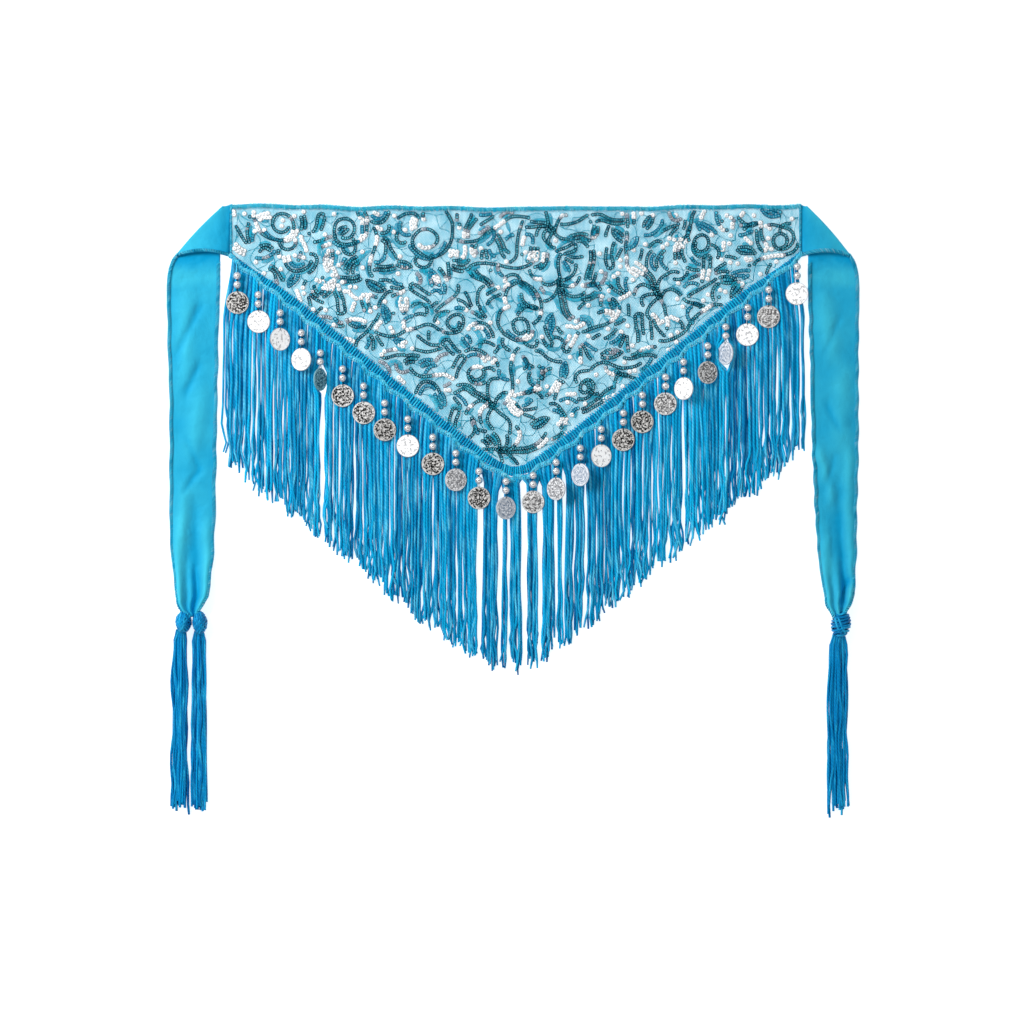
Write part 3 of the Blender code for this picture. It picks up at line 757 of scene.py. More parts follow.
def grow(name, guide, tree, finish, slot="cord", replaced=(), **values):
    """Runs a tree on a guide mesh and keeps what it makes as one plain mesh."""
    host = show(name + "_guide", guide)
    modifier = host.modifiers.new("Grow", "NODES")
    modifier.node_group = tree
    values["Finish"] = FINISH[finish]
    for item in tree.interface.items_tree:
        if item.in_out == "INPUT" and item.name in values:
            modifier[item.identifier] = values[item.name]
    depsgraph = bpy.context.evaluated_depsgraph_get()
    mesh = bpy.data.meshes.new_from_object(host.evaluated_get(depsgraph), depsgraph=depsgraph)
    mesh.name = name
    bpy.data.objects.remove(host)
    bpy.data.meshes.remove(guide)
    return keep_piece(name, mesh, replaced)


def line_mesh(lines):
    """A guide mesh of open lines. Each line is its points, thickness at each point, and one tone."""
    points, edges, thick, tone, along = [], [], [], [], []
    for places, radii, line_tone in lines:
        start, count, reach = len(points), len(places), 0.0
        points.extend(tuple(place) for place in places)
        edges.extend((k, k + 1) for k in range(start, start + count - 1))
        thick.extend(radii if hasattr(radii, "__len__") else [radii] * count)
        tone.extend([line_tone] * count)
        for before, place in zip([places[0], *places], places):
            reach += (Vector(place) - Vector(before)).length
            along.append(reach)
    mesh = bpy.data.meshes.new("lines")
    mesh.from_pydata(points, edges, [])
    for label, values in (("thick", thick), ("tone", tone), ("along", along)):
        note(mesh, label, values)
    return mesh


def sequin_mesh(places):
    """A guide mesh of one point a sequin, with how it is turned and its tone."""
    mesh = bpy.data.meshes.new("spots")
    mesh.from_pydata([place for place, _, _ in places], [], [])
    note(mesh, "turn", [angle for _, turn, _ in places for angle in turn], "FLOAT_VECTOR")
    note(mesh, "tone", [tone for _, _, tone in places])
    return mesh


# The studio


def studio():
    """The camera, a soft side light, an even sky with a dim spot straight above, and a wide pale floor."""
    camera = bpy.data.cameras.new("camera")
    camera.lens, camera.sensor_width = LENS, SENSOR
    camera.clip_start, camera.clip_end = CLIP_NEAR, CLIP_FAR
    view = show("camera", camera)
    view.location = (FIELD_MIDDLE_X, 0.0, FIELD_WIDE * LENS / SENSOR)
    bpy.context.scene.camera = view
    bpy.context.scene.view_settings.view_transform = "Standard"

    light = bpy.data.lights.new("side_softbox", "AREA")
    light.shape, light.size, light.energy = "DISK", LAMP_SIZE, LAMP_POWER
    lamp = show("side_softbox", light)
    lamp.location = LAMP_PLACE
    lamp.rotation_euler = (-Vector(lamp.location)).to_track_quat("-Z", "Y").to_euler()
    lamp.visible_camera = False

    world = bpy.data.worlds.new("studio")
    bpy.context.scene.world = world
    world.use_nodes = True
    tree = world.node_tree
    towards = parts_of(tree, add_node(tree, "ShaderNodeTexCoord").outputs["Generated"])
    above = rescale(tree, towards[2], HORIZON_DARK, HORIZON_BRIGHT, SKY_LOW, 1.0)
    shares = [
        calculate(tree, "POWER", calculate(tree, "DIVIDE", part, size), 2.0)
        for part, size in zip(towards, (BOOM_WIDE, BOOM_DEEP))
    ]
    boom = rescale(tree, calculate(tree, "ADD", *shares), 0.7, 1.2, SKY_BOOM, 1.0)
    sky = {"Color": calculate(tree, "MULTIPLY", above, boom), "Strength": SKY_STRENGTH}
    fill(tree, tree.nodes["Background"].inputs, sky)

    bm = bmesh.new()
    bmesh.ops.create_grid(bm, x_segments=4, y_segments=4, size=FLOOR_SIZE / 2)
    mesh = mesh_from(bm, "studio_floor", "floor_paper")
    mesh.transform(Matrix.Translation((0.0, 0.0, -FLOOR_DROP)))
    show("studio_floor", mesh)


# Ties

TieRow = namedtuple("TieRow", "y inner outer lift gather", defaults=(0.0, 0.0))
Trough = namedtuple("Trough", "y_high across_high y_low across_low wide height")

FOLD_TOP, FOLD_LOW, FOLD_OUT, FOLD_BOW = 0.2688, 0.2248, 0.2964, 0.0014
SEAM_TOP, SEAM_LOW = 0.2704, 0.2245
FOLD_HIGH_Z, FOLD_LOW_Z, FOLD_BULGE = 0.0022, CLOTH / 2, 0.0008
LOWER_ARCH, RISE_RUN, LOWER_LIFT = 0.0040, 0.0100, 0.0026
# How far the folds' heights move the satin's painted light, and its level on flat cloth, for each side
FOLD_LIGHT_SPAN, FOLD_LIGHT_MIDDLE = 0.0056, {-1: 0.44, 1: 0.42}
INNER_CORNER_Y, OUTER_CORNER_Y = 0.2588, 0.2170
GATHER_WAVES, CROWN = 2.5, 0.0012
UPPER_ROWS, TURN_ROWS, UNDER_ROWS = 10, 7, 9
TIE_ACROSS, TIE_ROW_PITCH = 26, 0.0030
OUTWARD = Vector((1.0, 1.0)).normalized()
# Rows of the hanging cloth: height, inner and outer edge, lift and gather, as far as they aren't zero
LEFT_ROWS = (
    (0.1960, 0.2578, HALF_SPREAD), (0.1700, 0.2590, 0.3040), (0.1450, 0.2596, 0.3034),
    (0.1200, 0.2600, 0.3026),
    (0.0950, 0.2605, 0.3018), (0.0700, 0.2609, 0.3018), (0.0450, 0.2614, 0.3018), (0.0200, 0.2618, 0.3018),
    (-0.0070, 0.2622, 0.3018, 0.0, 0.0004), (-0.0300, 0.2633, 0.3007, 0.0006, 0.0010),
    (-0.0480, 0.2646, 0.2989, 0.0018, 0.0018), (-0.0620, 0.2659, 0.2967, 0.0036, 0.0026),
    (-0.0740, 0.2678, 0.2948, 0.0060, 0.0030), (-0.0815, 0.2720, 0.2938, 0.0076, 0.0026),
    (-0.0868, 0.2756, 0.2904, 0.0088, 0.0020), (-0.0920, 0.2780, 0.2838, 0.0096, 0.0010),
)
RIGHT_ROWS = (
    (0.1960, 0.2596, HALF_SPREAD), (0.1700, 0.2604, 0.3040), (0.1450, 0.2614, 0.3036),
    (0.1200, 0.2618, 0.3036),
    (0.0950, 0.2622, 0.3036), (0.0700, 0.2630, 0.3036), (0.0450, 0.2640, 0.3034), (0.0200, 0.2650, 0.3026),
    (-0.0070, 0.2666, 0.3018, 0.0, 0.0004), (-0.0300, 0.2680, 0.3018, 0.0006, 0.0010),
    (-0.0480, 0.2700, 0.3007, 0.0018, 0.0018), (-0.0630, 0.2720, 0.2994, 0.0036, 0.0026),
    (-0.0745, 0.2738, 0.2988, 0.0060, 0.0030), (-0.0812, 0.2746, 0.2962, 0.0076, 0.0026),
    (-0.0868, 0.2786, 0.2912, 0.0086, 0.0020), (-0.0915, 0.2806, 0.2898, 0.0096, 0.0010),
)
LEFT_TROUGHS = (
    (0.1830, 0.36, 0.1380, 0.80, 0.0040, -0.0019), (0.1900, 0.62, 0.1180, 0.62, 0.0085, 0.0022),
    (0.1300, 0.38, 0.1030, 0.66, 0.0034, -0.0015), (0.1100, 0.30, 0.0500, 0.52, 0.0080, 0.0019),
    (0.0640, 0.62, 0.0380, 0.36, 0.0030, -0.0012), (0.0380, 0.34, 0.0180, 0.68, 0.0032, -0.0017),
    (0.0250, 0.66, -0.0300, 0.62, 0.0075, 0.0023), (0.0060, 0.50, -0.0865, 0.47, 0.0055, -0.0028),
    (-0.0100, 0.76, -0.0800, 0.78, 0.0050, 0.0028), (-0.0100, 0.20, -0.0800, 0.18, 0.0055, 0.0022),
    (-0.0500, 0.45, -0.0900, 0.40, 0.0022, -0.0030),
)
RIGHT_TROUGHS = (
    (0.1950, 0.30, 0.1350, 0.44, 0.0080, 0.0022), (0.1700, 0.62, 0.1420, 0.34, 0.0032, -0.0014),
    (0.1250, 0.70, 0.0560, 0.58, 0.0085, 0.0020), (0.0950, 0.34, 0.0700, 0.60, 0.0032, -0.0013),
    (0.0560, 0.14, 0.0080, 0.42, 0.0045, 0.0022), (0.0500, 0.50, 0.0200, 0.26, 0.0030, -0.0013),
    (0.0550, 0.80, -0.0420, 0.78, 0.0050, 0.0024), (0.0100, 0.56, -0.0820, 0.58, 0.0056, -0.0020),
    (-0.0200, 0.24, -0.0865, 0.32, 0.0042, 0.0030), (-0.0580, 0.86, -0.0800, 0.54, 0.0022, -0.0030),
    (-0.0650, 0.84, -0.0760, 0.80, 0.0036, 0.0032),
)


def trough_height(troughs, y, across, wide):
    """What the soft troughs and ridges add to the cloth's height at one point."""
    height = 0.0
    for trough in troughs:
        share = (trough.y_high - y) / (trough.y_high - trough.y_low)
        if -0.25 < share < 1.25:
            middle = mix(trough.across_high, trough.across_low, clamp(share))
            offset = (across - middle) * wide / trough.wide
            ends = ease((share + 0.25) / 0.45) * ease((1.25 - share) / 0.45)
            height += trough.height * exp(-offset * offset) * ends
    return height


def quadratic(start, corner, end, share):
    return mix(mix(start, corner, share), mix(corner, end, share), share)


def row_at(rows, y):
    """The table's row at a height between its own."""
    for above, below in zip(rows, rows[1:]):
        if y >= below.y:
            share = (above.y - y) / (above.y - below.y)
            return TieRow(*(mix(a, b, share) for a, b in zip(above, below)))
    return rows[-1]


def below_fold(y):
    """The painted shade on the cloth below the fold, which grows out of the fold's painted shadow."""
    return ease((FOLD_LOW - y - 0.002) / 0.014)


def folded_lines(seam, fold_in, first):
    """Rows from the seam over the fold and under it: two ends, a height if it is settled, and how far out."""
    fold_ends = Vector((fold_in, FOLD_TOP)), Vector((FOLD_OUT, FOLD_LOW))
    lines = []
    for i in range(UPPER_ROWS):
        share = i / UPPER_ROWS
        inner = mix(Vector((seam, SEAM_TOP)), fold_ends[0], share)
        outer = mix(Vector((seam, SEAM_LOW)), fold_ends[1], share)
        outer.y += LOWER_ARCH * sin(pi * share)
        lines.append((inner, outer, None, share))
    for angle in (pi * share for share in steps(TURN_ROWS + 1)):
        bulge = OUTWARD * FOLD_BULGE * sin(angle)
        z = mix(FOLD_HIGH_Z, FOLD_LOW_Z, (1 - cos(angle)) / 2)
        lines.append((fold_ends[0] + bulge, fold_ends[1] + bulge, z, 1.0))
    corners = Vector((first.inner, INNER_CORNER_Y)), Vector((first.outer, OUTER_CORNER_Y))
    hang_ends = Vector((first.inner, first.y)), Vector((first.outer, first.y))
    for i in range(1, UNDER_ROWS + 1):
        run = [quadratic(*ends, i / (UNDER_ROWS + 1)) for ends in zip(fold_ends, corners, hang_ends)]
        lines.append((*run, FOLD_LOW_Z, 0.0))
    return lines


def tie_grid(side, seam, fold_in, rows, troughs, draw):
    """A tie row by row, from the seam over its fold and down to the knot, with a painted light for each spot
    that follows its folds.
    """
    grid, fold_lights = [], []
    for inner, outer, z, share in folded_lines(seam, fold_in, rows[0]):
        line = []
        for across in steps(TIE_ACROSS):
            place = mix(inner, outer, across) + OUTWARD * FOLD_BOW * sin(pi * across) * share
            up = z
            if z is None:
                up = mix(CLOTH / 2, FOLD_HIGH_Z, ease((place.x - seam) / RISE_RUN))
                up += LOWER_LIFT * sin(pi * share) * across**3
            line.append(Vector((side * place.x, place.y, up)))
            # Painted light on the fold's upper layer, darker towards the seam; under the fold, its painted
            # shadow
            fold_lights.append(mix(0.08, 0.72, share) if share else 0.75 * below_fold(place.y))
        grid.append(line)
    inner_wave, outer_wave = (wander(draw, 0.0007, 0.018, 0.060) for _ in range(2))
    for down in steps(ceil((rows[0].y - rows[-1].y) / TIE_ROW_PITCH)):
        y = mix(rows[0].y, rows[-1].y, down)
        row = row_at(rows, y)
        soft = ease((rows[0].y - y) / 0.03)
        inner, outer = row.inner + inner_wave(y) * soft, row.outer + outer_wave(y) * soft
        line = []
        for across in steps(TIE_ACROSS):
            gather = row.gather * sin(TURN * GATHER_WAVES * across)
            crown = CROWN * sin(pi * across) ** 0.7 * soft
            folds = trough_height(troughs, y, across, outer - inner)
            lift = max(row.lift + max(gather, -row.lift) + crown + folds, 0.0)
            # Painted light on the ridges of the folds and painted shade in their troughs, darker in the
            # fold's painted shadow
            shown = clamp(FOLD_LIGHT_MIDDLE[side] + (folds + 0.6 * gather) / FOLD_LIGHT_SPAN)
            fold_lights.append(shown * mix(0.2, 1.0, below_fold(y)))
            line.append(Vector((side * mix(inner, outer, across), y, CLOTH / 2 + lift)))
        grid.append(line)
    return grid, fold_lights


EDGE_ROLL_FLAT, EDGE_ROLL_INSET, EDGE_LOW, THREAD_LOW = 0.48, 0.75, 0.0014, 0.0002
COVERED_ABOVE = 0.2255
# An overlocked edge: its hem's finish and radius, the loops' pitch, reach and height, and their thread, slant
# and spread
Edging = namedtuple("Edging", "hem roll pitch reach high thread slant spread")
TIE_EDGING = Edging("rolled_hem", 0.00160, 0.0021, 0.00205, 0.00085, 0.00042, 36, 0.40)
WAIST_EDGING = Edging("waist_hem", 0.00160, 0.00105, 0.00250, 0.00065, 0.00034, 12, 0.90)
SEAM_EDGING = Edging("rolled_hem", 0.00085, 0.0014, 0.00110, 0.00050, 0.00036, 30, 0.40)


def overlocked(name, edges, seed, edging=TIE_EDGING):
    """An edge as an overlocker leaves it: a rolled hem, with thread wound round it at a slant."""
    lifted = [[Vector((x, y, max(z + 0.0002, EDGE_LOW))) for x, y, z in line] for line in edges]
    hems = [(line, edging.roll, 0.2) for line in lifted]
    roll_values = {"Flatness": EDGE_ROLL_FLAT, "Sides": 8}
    rolls = grow(name + "_roll", line_mesh(hems), CORDS, edging.hem, "satin", **roll_values)
    threads = grow(
        name,
        line_mesh(hems),
        STITCHES,
        "overlock_thread",
        "satin",
        Pitch=edging.pitch,
        Length=edging.high,
        Width=edging.reach,
        Thread=edging.thread,
        Roll=radians(90),
        Slant=radians(edging.slant),
        Spread=edging.spread,
        Seed=seed,
    )
    for vertex in threads.data.vertices:
        vertex.co.z = max(vertex.co.z, THREAD_LOW)
    return [rolls, threads]


def tie(name, side, seam, fold_in, rows, troughs, seed):
    """One satin tie, with the overlocked thread along both of its edges."""
    rows, troughs = [TieRow(*row) for row in rows], [Trough(*row) for row in troughs]
    grid, fold_lights = tie_grid(side, seam, fold_in, rows, troughs, random.Random(seed))
    piece = cloth(name + "_cloth", grid, "satin_cloth", CLOTH_SHOWN, name)
    note(piece.data, "fold_light", fold_lights)
    ends = (0, 1), (-1, -2)
    inner, outer = ([mix(line[a], line[b], EDGE_ROLL_INSET) for line in grid] for a, b in ends)
    inner = [point for point in inner if point.y < COVERED_ABOVE]
    overlocked(name + "_overlock", [inner, outer], seed)


# Net panel

RIM_INSET, RIM_Z, RIM_POINTS = 0.0019, 0.0010, 160
SEAM_INSET, SEAM_Z, SEAM_POINTS = 0.0002, 0.0012, 24


def panel_run(count):
    """Values of x at even steps along the waist."""
    return [mix(PANEL_LEFT, PANEL_RIGHT, share) for share in steps(count)]


def panel():
    """The net, lightly rippled where it lies, with its overlocked waist edge."""
    draw = random.Random(21)
    along_wave, across_wave = wander(draw, 1.0, 0.05, 0.16), wander(draw, 1.0, 0.05, 0.14)
    rim_wave = wander(draw, 0.0009, 0.05, 0.15)
    columns, area = [], 0.0
    pitch = (PANEL_RIGHT - PANEL_LEFT) / NET_COLUMNS
    for x in panel_run(NET_COLUMNS):
        low = edge_middle(x) + PANEL_INSET * end_share(x)
        high = top_line(x) + rim_wave(x)
        area += (high - low) * pitch
        column = []
        for y in (mix(low, high, share) for share in steps(NET_ROWS)):
            ripple = NET_RIPPLE * along_wave(x + 0.6 * y) * across_wave(y - 0.4 * x)
            column.append((x, y, NET_Z + ripple))
        columns.append(column)
    net = cloth("panel_net", list(zip(*columns)), "fine_net", NET_THICK, "panel")
    waist_edge = [Vector((x, top_line(x) + rim_wave(x) - RIM_INSET, RIM_Z)) for x in panel_run(RIM_POINTS)]
    seams = [
        [Vector((x, mix(SEAM_TOP, SEAM_LOW, share), SEAM_Z)) for share in steps(SEAM_POINTS)]
        for x in (PANEL_LEFT + SEAM_INSET, PANEL_RIGHT - SEAM_INSET)
    ]
    edges = overlocked("waist_edge_overlock", [waist_edge], 4, WAIST_EDGING)
    edges += overlocked("end_seam_overlock", seams, 9, SEAM_EDGING)


# Fringe

# Partings of the strands: where, half how wide, and how far below the heading they open
PARTINGS = (
    (-0.0438, 0.0014, 0.060), (-0.0284, 0.0038, 0.008), (-0.0240, 0.0007, 0.045), (-0.0106, 0.0036, 0.010),
    (-0.0050, 0.0020, 0.016), (-0.0015, 0.0008, 0.055), (0.0103, 0.0037, 0.001), (0.0148, 0.0010, 0.058),
    (0.0234, 0.0034, 0.010), (0.0274, 0.0007, 0.050), (0.0384, 0.0023, 0.016), (0.0448, 0.0027, 0.014),
    (0.0550, 0.0015, 0.045), (0.0635, 0.0021, 0.020), (-0.1672, 0.0026, 0.024), (-0.1520, 0.0009, 0.020),
    (-0.1325, 0.0007, 0.020), (-0.0924, 0.0011, 0.024), (-0.0704, 0.0009, 0.030), (-0.0502, 0.0011, 0.030),
    (0.0968, 0.0011, 0.030), (0.1230, 0.0009, 0.030), (0.1496, 0.0008, 0.030), (-0.2042, 0.0009, 0.024),
)
PARTING_REACH = 0.0060
Layer = namedtuple("Layer", "z pitch shift radius tone sunk")
# The layers' tones paint shade: the lowest layer is darkest and the top one lightest.
LAYERS = (
    Layer(0.00120, 0.0030, 0.0, 0.00112, 0.02, 0.0016),
    Layer(0.00195, 0.0035, 0.0012, 0.00112, 0.35, 0.0009),
    Layer(0.00290, 0.0035, 0.0004, 0.00120, 0.80, 0.0009),
)
FringeSide = namedtuple("FringeSide", "name side end tip_length length seed")
FRINGE_SIDES = (
    FringeSide("fringe_left", -1, PANEL_LEFT, 0.163, 0.178, 11),
    FringeSide("fringe_right", 1, PANEL_RIGHT, 0.165, 0.170, 12),
)
TIP_RUN, FRINGE_RAGGED = 0.060, 0.0050
CLUMP_WIDE, CLUMP_SMALL, STRAY_LONGER, STRAY_CHANCE = 0.023, 0.0091, 0.005, 0.07
LOOSE_BELOW, LAYER_RUN, TIP_FREE_FROM, CLEARANCE = 0.06, 0.012, 0.55, 0.0002
END_TRIM, END_TRIM_RUN = 0.010, 0.010
END_SPREAD, END_SPREAD_RUN = 0.0070, 0.018
SWAY, SWAY_RUN = 0.0012, 0.070
STRAND_POINTS = 24
ROOT_THICK, LOW_THICK = 1.25, 0.95
HEADING_TOP_Z = 0.0030
FAN_REACH, FAN_FALL = 0.42, 0.016
SLOT_FADE, SLOT_CLEAR, SLOT_SHARE, ON_EDGE = 0.005, 0.0004, 0.8, radians(50)


def fan_root(x):
    """Where a strand that hangs at x leaves the heading: they fan out from each inner corner."""
    outward, low, high, phase = step_phase(x)
    half = STEEP_SHARE / 2
    if half < phase < 1 - half:
        share = (phase - half) / (1 - STEEP_SHARE)
        phase = half + (1 - STEEP_SHARE) * share ** (1 + FAN_REACH * 1.6)
    return outward * mix(low, high, phase)


def opened(x, fallen):
    """How far the partings push a strand aside."""
    moved = 0.0
    for middle, half_wide, fall in PARTINGS:
        away = x - middle
        if abs(away) < 4 * PARTING_REACH:
            push = half_wide * exp(-abs(away) / PARTING_REACH) * ease((fallen - 0.8 * fall) / fall)
            moved += push if away >= 0 else -push
    return moved


def strand_line(fringe_side, layer, x, sway, draw):
    """The run of one strand, from the heading to its cut end."""
    side, from_end = fringe_side.side, abs(fringe_side.end - x)
    root_x = fan_root(x)
    root_y = edge_middle(root_x) + step(root_x) - 0.0004
    reach = mix(fringe_side.tip_length, fringe_side.length, ease(abs(x - TIP_X) / TIP_RUN))
    reach -= END_TRIM * exp(-from_end / END_TRIM_RUN)
    clump = 0.55 * sin(TURN * x / CLUMP_WIDE + side) + 0.35 * sin(TURN * x / CLUMP_SMALL)
    reach += (draw.gauss(0, 0.55) + clump) * FRINGE_RAGGED
    reach += STRAY_LONGER if draw.random() < STRAY_CHANCE else 0
    foot = edge_middle(x) - reach
    own_wave = wander(draw, draw.uniform(0.0003, 0.0010), 0.05, 0.16, waves=2)
    tip_wave = wander(draw, draw.uniform(0.0006, 0.0030), 0.025, 0.060, waves=2)
    lean = draw.gauss(0, 0.0011)
    lift = wander(draw, 0.00028, 0.03, 0.09, waves=2)
    root_z = HEADING_TOP_Z - layer.sunk
    points = []
    for i in range(STRAND_POINTS):
        share = (i / (STRAND_POINTS - 1)) ** 1.15
        y = mix(root_y, foot, share)
        fallen = root_y - y
        loose = ease(fallen / LOOSE_BELOW)
        place_x = x + (root_x - x) * exp(-fallen / FAN_FALL) + opened(x, fallen)
        place_x += side * END_SPREAD * exp(-from_end / END_SPREAD_RUN) * ease(3 * share)
        place_x += SWAY * sin(TURN * x / SWAY_RUN) * share
        place_x += (own_wave(y) + lean * share) * loose + sway(x * 0.8 + y * 0.1) * share
        place_x += tip_wave(y) * ease((share - TIP_FREE_FROM) / (1 - TIP_FREE_FROM))
        z = mix(root_z, layer.z, ease(fallen / LAYER_RUN)) + lift(y) * loose
        points.append((place_x, y, max(z, layer.radius + CLEARANCE)))
    return points


def standing_slots():
    """Where a coin on edge parts the strands, as ranges of x and of y."""
    slots = []
    for coin in COINS:
        if abs(coin.turn) > ON_EDGE:
            reach, tall = COIN_RADIUS * cos(coin.turn) + SLOT_CLEAR, SLOT_SHARE * COIN_RADIUS
            slots.append((coin.x, reach, coin.y - tall, coin.y + tall))
    return slots


def clear_of_slots(points, slots, radius):
    """Moves a strand aside where a coin on edge hangs down between the strands."""
    moved = []
    for x, y, z in points:
        for middle, reach, low, high in slots:
            if low - SLOT_FADE < y < high + SLOT_FADE:
                share = ease((y - low + SLOT_FADE) / SLOT_FADE) * ease((high + SLOT_FADE - y) / SLOT_FADE)
                away, needed = x - middle, reach + radius
                if abs(away) < needed:
                    x += (needed - abs(away)) * share * (1 if away >= 0 else -1)
        moved.append((x, y, z))
    return moved


def strand_thickness(k):
    """A strand is fuller where the heading presses it flat, and its cut end is a little thinner."""
    return mix(ROOT_THICK, LOW_THICK, ease((k - 4) / 10)) * (1 - 0.25 * exp(-(STRAND_POINTS - 1 - k) * 1.5))


def fringe():
    """Three layers of cords on each side, each with its own tone, waves and length; lower layers take darker
    tones as painted shade.
    """
    slots = standing_slots()
    for fringe_side in FRINGE_SIDES:
        draw = random.Random(fringe_side.seed)
        sway = wander(draw, 0.0012, 0.012, 0.05)
        reach = abs(fringe_side.end - TIP_X)
        lines = []
        for layer in LAYERS:
            for i in range(int(reach / layer.pitch)):
                away = layer.shift + layer.pitch * (i + 0.5) + draw.uniform(-0.0005, 0.0005)
                x = TIP_X + fringe_side.side * min(away, reach - 0.0008)
                points = strand_line(fringe_side, layer, x, sway, draw)
                # Painted shade: cords in lower layers take darker tones.
                tone = clamp(draw.gauss(0.35 + 0.3 * layer.tone, 0.26))
                radius = layer.radius * draw.uniform(0.88, 1.12)
                thick = [radius * strand_thickness(k) for k in range(STRAND_POINTS)]
                lines.append((clear_of_slots(points, slots, radius), thick, tone))
        name = fringe_side.name
        grow(name + "_cords", line_mesh(lines), CORDS, "fringe_cord", replaced=[name])


# Heading

RIB_PITCH, RIB_RADIUS, RIB_LEAN, RIB_LEAN_RUN = 0.00195, 0.00076, 0.0058, 0.03
RIB_LOW_SHARE, RIB_Z, RIB_CROWN = 0.26, 0.0019, 0.0009
# The backing's cords: how far up the heading, and their radius
BACKING = (0.15, 0.0012), (0.42, 0.0013), (0.70, 0.0013), (0.92, 0.0011)
CHAIN_POINTS, CHAIN_LIFT, CHAIN_APART = 700, 0.0002, 0.0013
CHAIN_SIZES = {"Pitch": 0.0021, "Length": 0.0016, "Thread": 0.00052}
CHAIN_TURNS = {"Slant": radians(16), "Roll": radians(16), "Spread": 0.5}


def heading():
    """The corded strip over the panel's edge: short ribs side by side, and a stepped chain below them."""
    draw = random.Random(31)
    ribs = []
    for place in steps(int((PANEL_RIGHT - PANEL_LEFT) / RIB_PITCH)):
        x = mix(PANEL_LEFT + RIB_RADIUS, PANEL_RIGHT - RIB_RADIUS, place)
        side = 1 if x > TIP_X else -1
        rise = HEADING_RISE * end_share(x)
        high = edge_middle(x) + rise + draw.uniform(-0.0008, 0.0005)
        low = edge_middle(x) + rise * RIB_LOW_SHARE
        lean = side * RIB_LEAN * end_share(x) * min(abs(x - TIP_X) / RIB_LEAN_RUN, 1.0)
        points = []
        for share in steps(6):
            z = RIB_Z + RIB_CROWN * sin(pi * share) ** 0.6
            points.append((x + lean * (share - 0.5), mix(high, low, share), z))
        ribs.append((points, RIB_RADIUS * draw.uniform(0.85, 1.15), draw.random()))
    grow("heading_ribs", line_mesh(ribs), CORDS, "heading_cord", Flatness=0.9)

    lower = [(x, edge_middle(x) + step(x)) for x in panel_run(CHAIN_POINTS)]
    upper = [edge_middle(x) + HEADING_RISE * end_share(x) for x, _ in lower]
    backing = []
    for share, radius in BACKING:
        line = [(x, mix(y, high, share), RIB_Z) for (x, y), high in zip(lower, upper)]
        # The backing's low tone adds painted shade where it shows between the ribs.
        backing.append((line[::5], radius, 0.1))
    grow("heading_backing", line_mesh(backing), CORDS, "heading_backing", Flatness=0.40)

    line = [(x, y, HEADING_TOP_Z + CHAIN_LIFT) for x, y in lower]
    shifted = [(x, y + CHAIN_APART, HEADING_TOP_Z) for x, y in lower]
    for name, run, wide, seed in (("chain", line, 0.0014, 6), ("chain_upper", shifted, 0.0010, 7)):
        values = {"Width": wide, "Seed": seed, **CHAIN_SIZES, **CHAIN_TURNS}
        grow("heading_" + name, line_mesh([(run, 0.0004, 0.5)]), STITCHES, "chain_thread", **values)


# Embroidery

# A stroke in millimetres and degrees: where it starts and heads, its length, how it curls at its start and
# end, which of the motif's kinds it has, and of how many rows it is
Stroke = namedtuple("Stroke", "x y heading long curl_start curl_end kind rows", defaults=(0, 1))
MOTIFS = {
    "scroll": (
        (0, 0, 90, 92, 0.040, 0.150), (-4, 3, 84, 40, 0.050, 0.090, 1), (0, 0, 262, 40, -0.020, -0.110),
        (-10, 18, 60, 26, 0.110, 0.200, 2),
    ),
    "curl": (
        (0, 0, 90, 84, 0.045, 0.205), (3, -2, 240, 24, 0.030, 0.090, 1), (-9, 9, 30, 14, 0.120, 0.160, 2),
    ),
    "branch": (
        (0, 0, 60, 46, 0.004, 0.050, 0, 2), (3, 2, 84, 34, 0.030, 0.120), (2, 0, 108, 30, 0.040, 0.160),
        (4, 4, 36, 34, -0.030, -0.100), (0, -2, 14, 28, -0.050, -0.150, 1), (-2, 0, 150, 26, 0.060, 0.100),
        (0, 0, 236, 36, 0.030, -0.080),
    ),
    "leaf": (
        (0, 0, 60, 21, 0.110, 0.060), (0, 0, 98, 21, -0.070, -0.110), (1, 3, 78, 14, 0.010, 0.010, 1),
        (0, 0, 250, 13, 0.030, 0.080),
    ),
    "wave": ((0, 0, 40, 44, 0.120, -0.120),),
    "double wave": ((0, 0, 60, 30, -0.090, 0.110, 0, 2),),
    "hook": ((0, 0, 90, 28, 0.020, 0.200),),
    "arc": ((0, 0, 90, 20, 0.080, 0.090),),
    "run": ((0, 0, 0, 9, 0.060, 0.030),),
    "pair": ((0, 0, 0, 13, 0.110, 0.080, 0, 2),),
    "almond": (
        (0, 0, 127, 17, -0.076, -0.076), (0, 0, 53, 17, 0.076, 0.076), (0, 4, 104, 9, -0.050, -0.050, 1),
    ),
    "nest": (
        (0, 0, 0, 34, 0.082, 0.090), (0, 4, 0, 20, 0.120, 0.135, 1), (-2, -4, 190, 16, -0.060, -0.110),
    ),
    "vine": (
        (0, 0, 70, 58, -0.075, 0.085), (-1, 8, 130, 16, 0.110, 0.150), (14, 22, 20, 16, -0.120, -0.150, 1),
    ),
    "bunch": ((0, 0, 50, 15, 0.050, 0.080, 0, 3),),
    "hairpin": (
        (0, 0, 90, 19, -0.010, 0.040), (0, 0, 270, 10, 0.320, 0.320), (6, 0, 90, 14, 0.030, -0.040, 1),
    ),
    "tuft": (
        (0, 0, 78, 15, 0.030, 0.060), (3, 0, 62, 15, 0.010, -0.020), (-3, 1, 100, 12, 0.060, 0.100, 1),
    ),
}
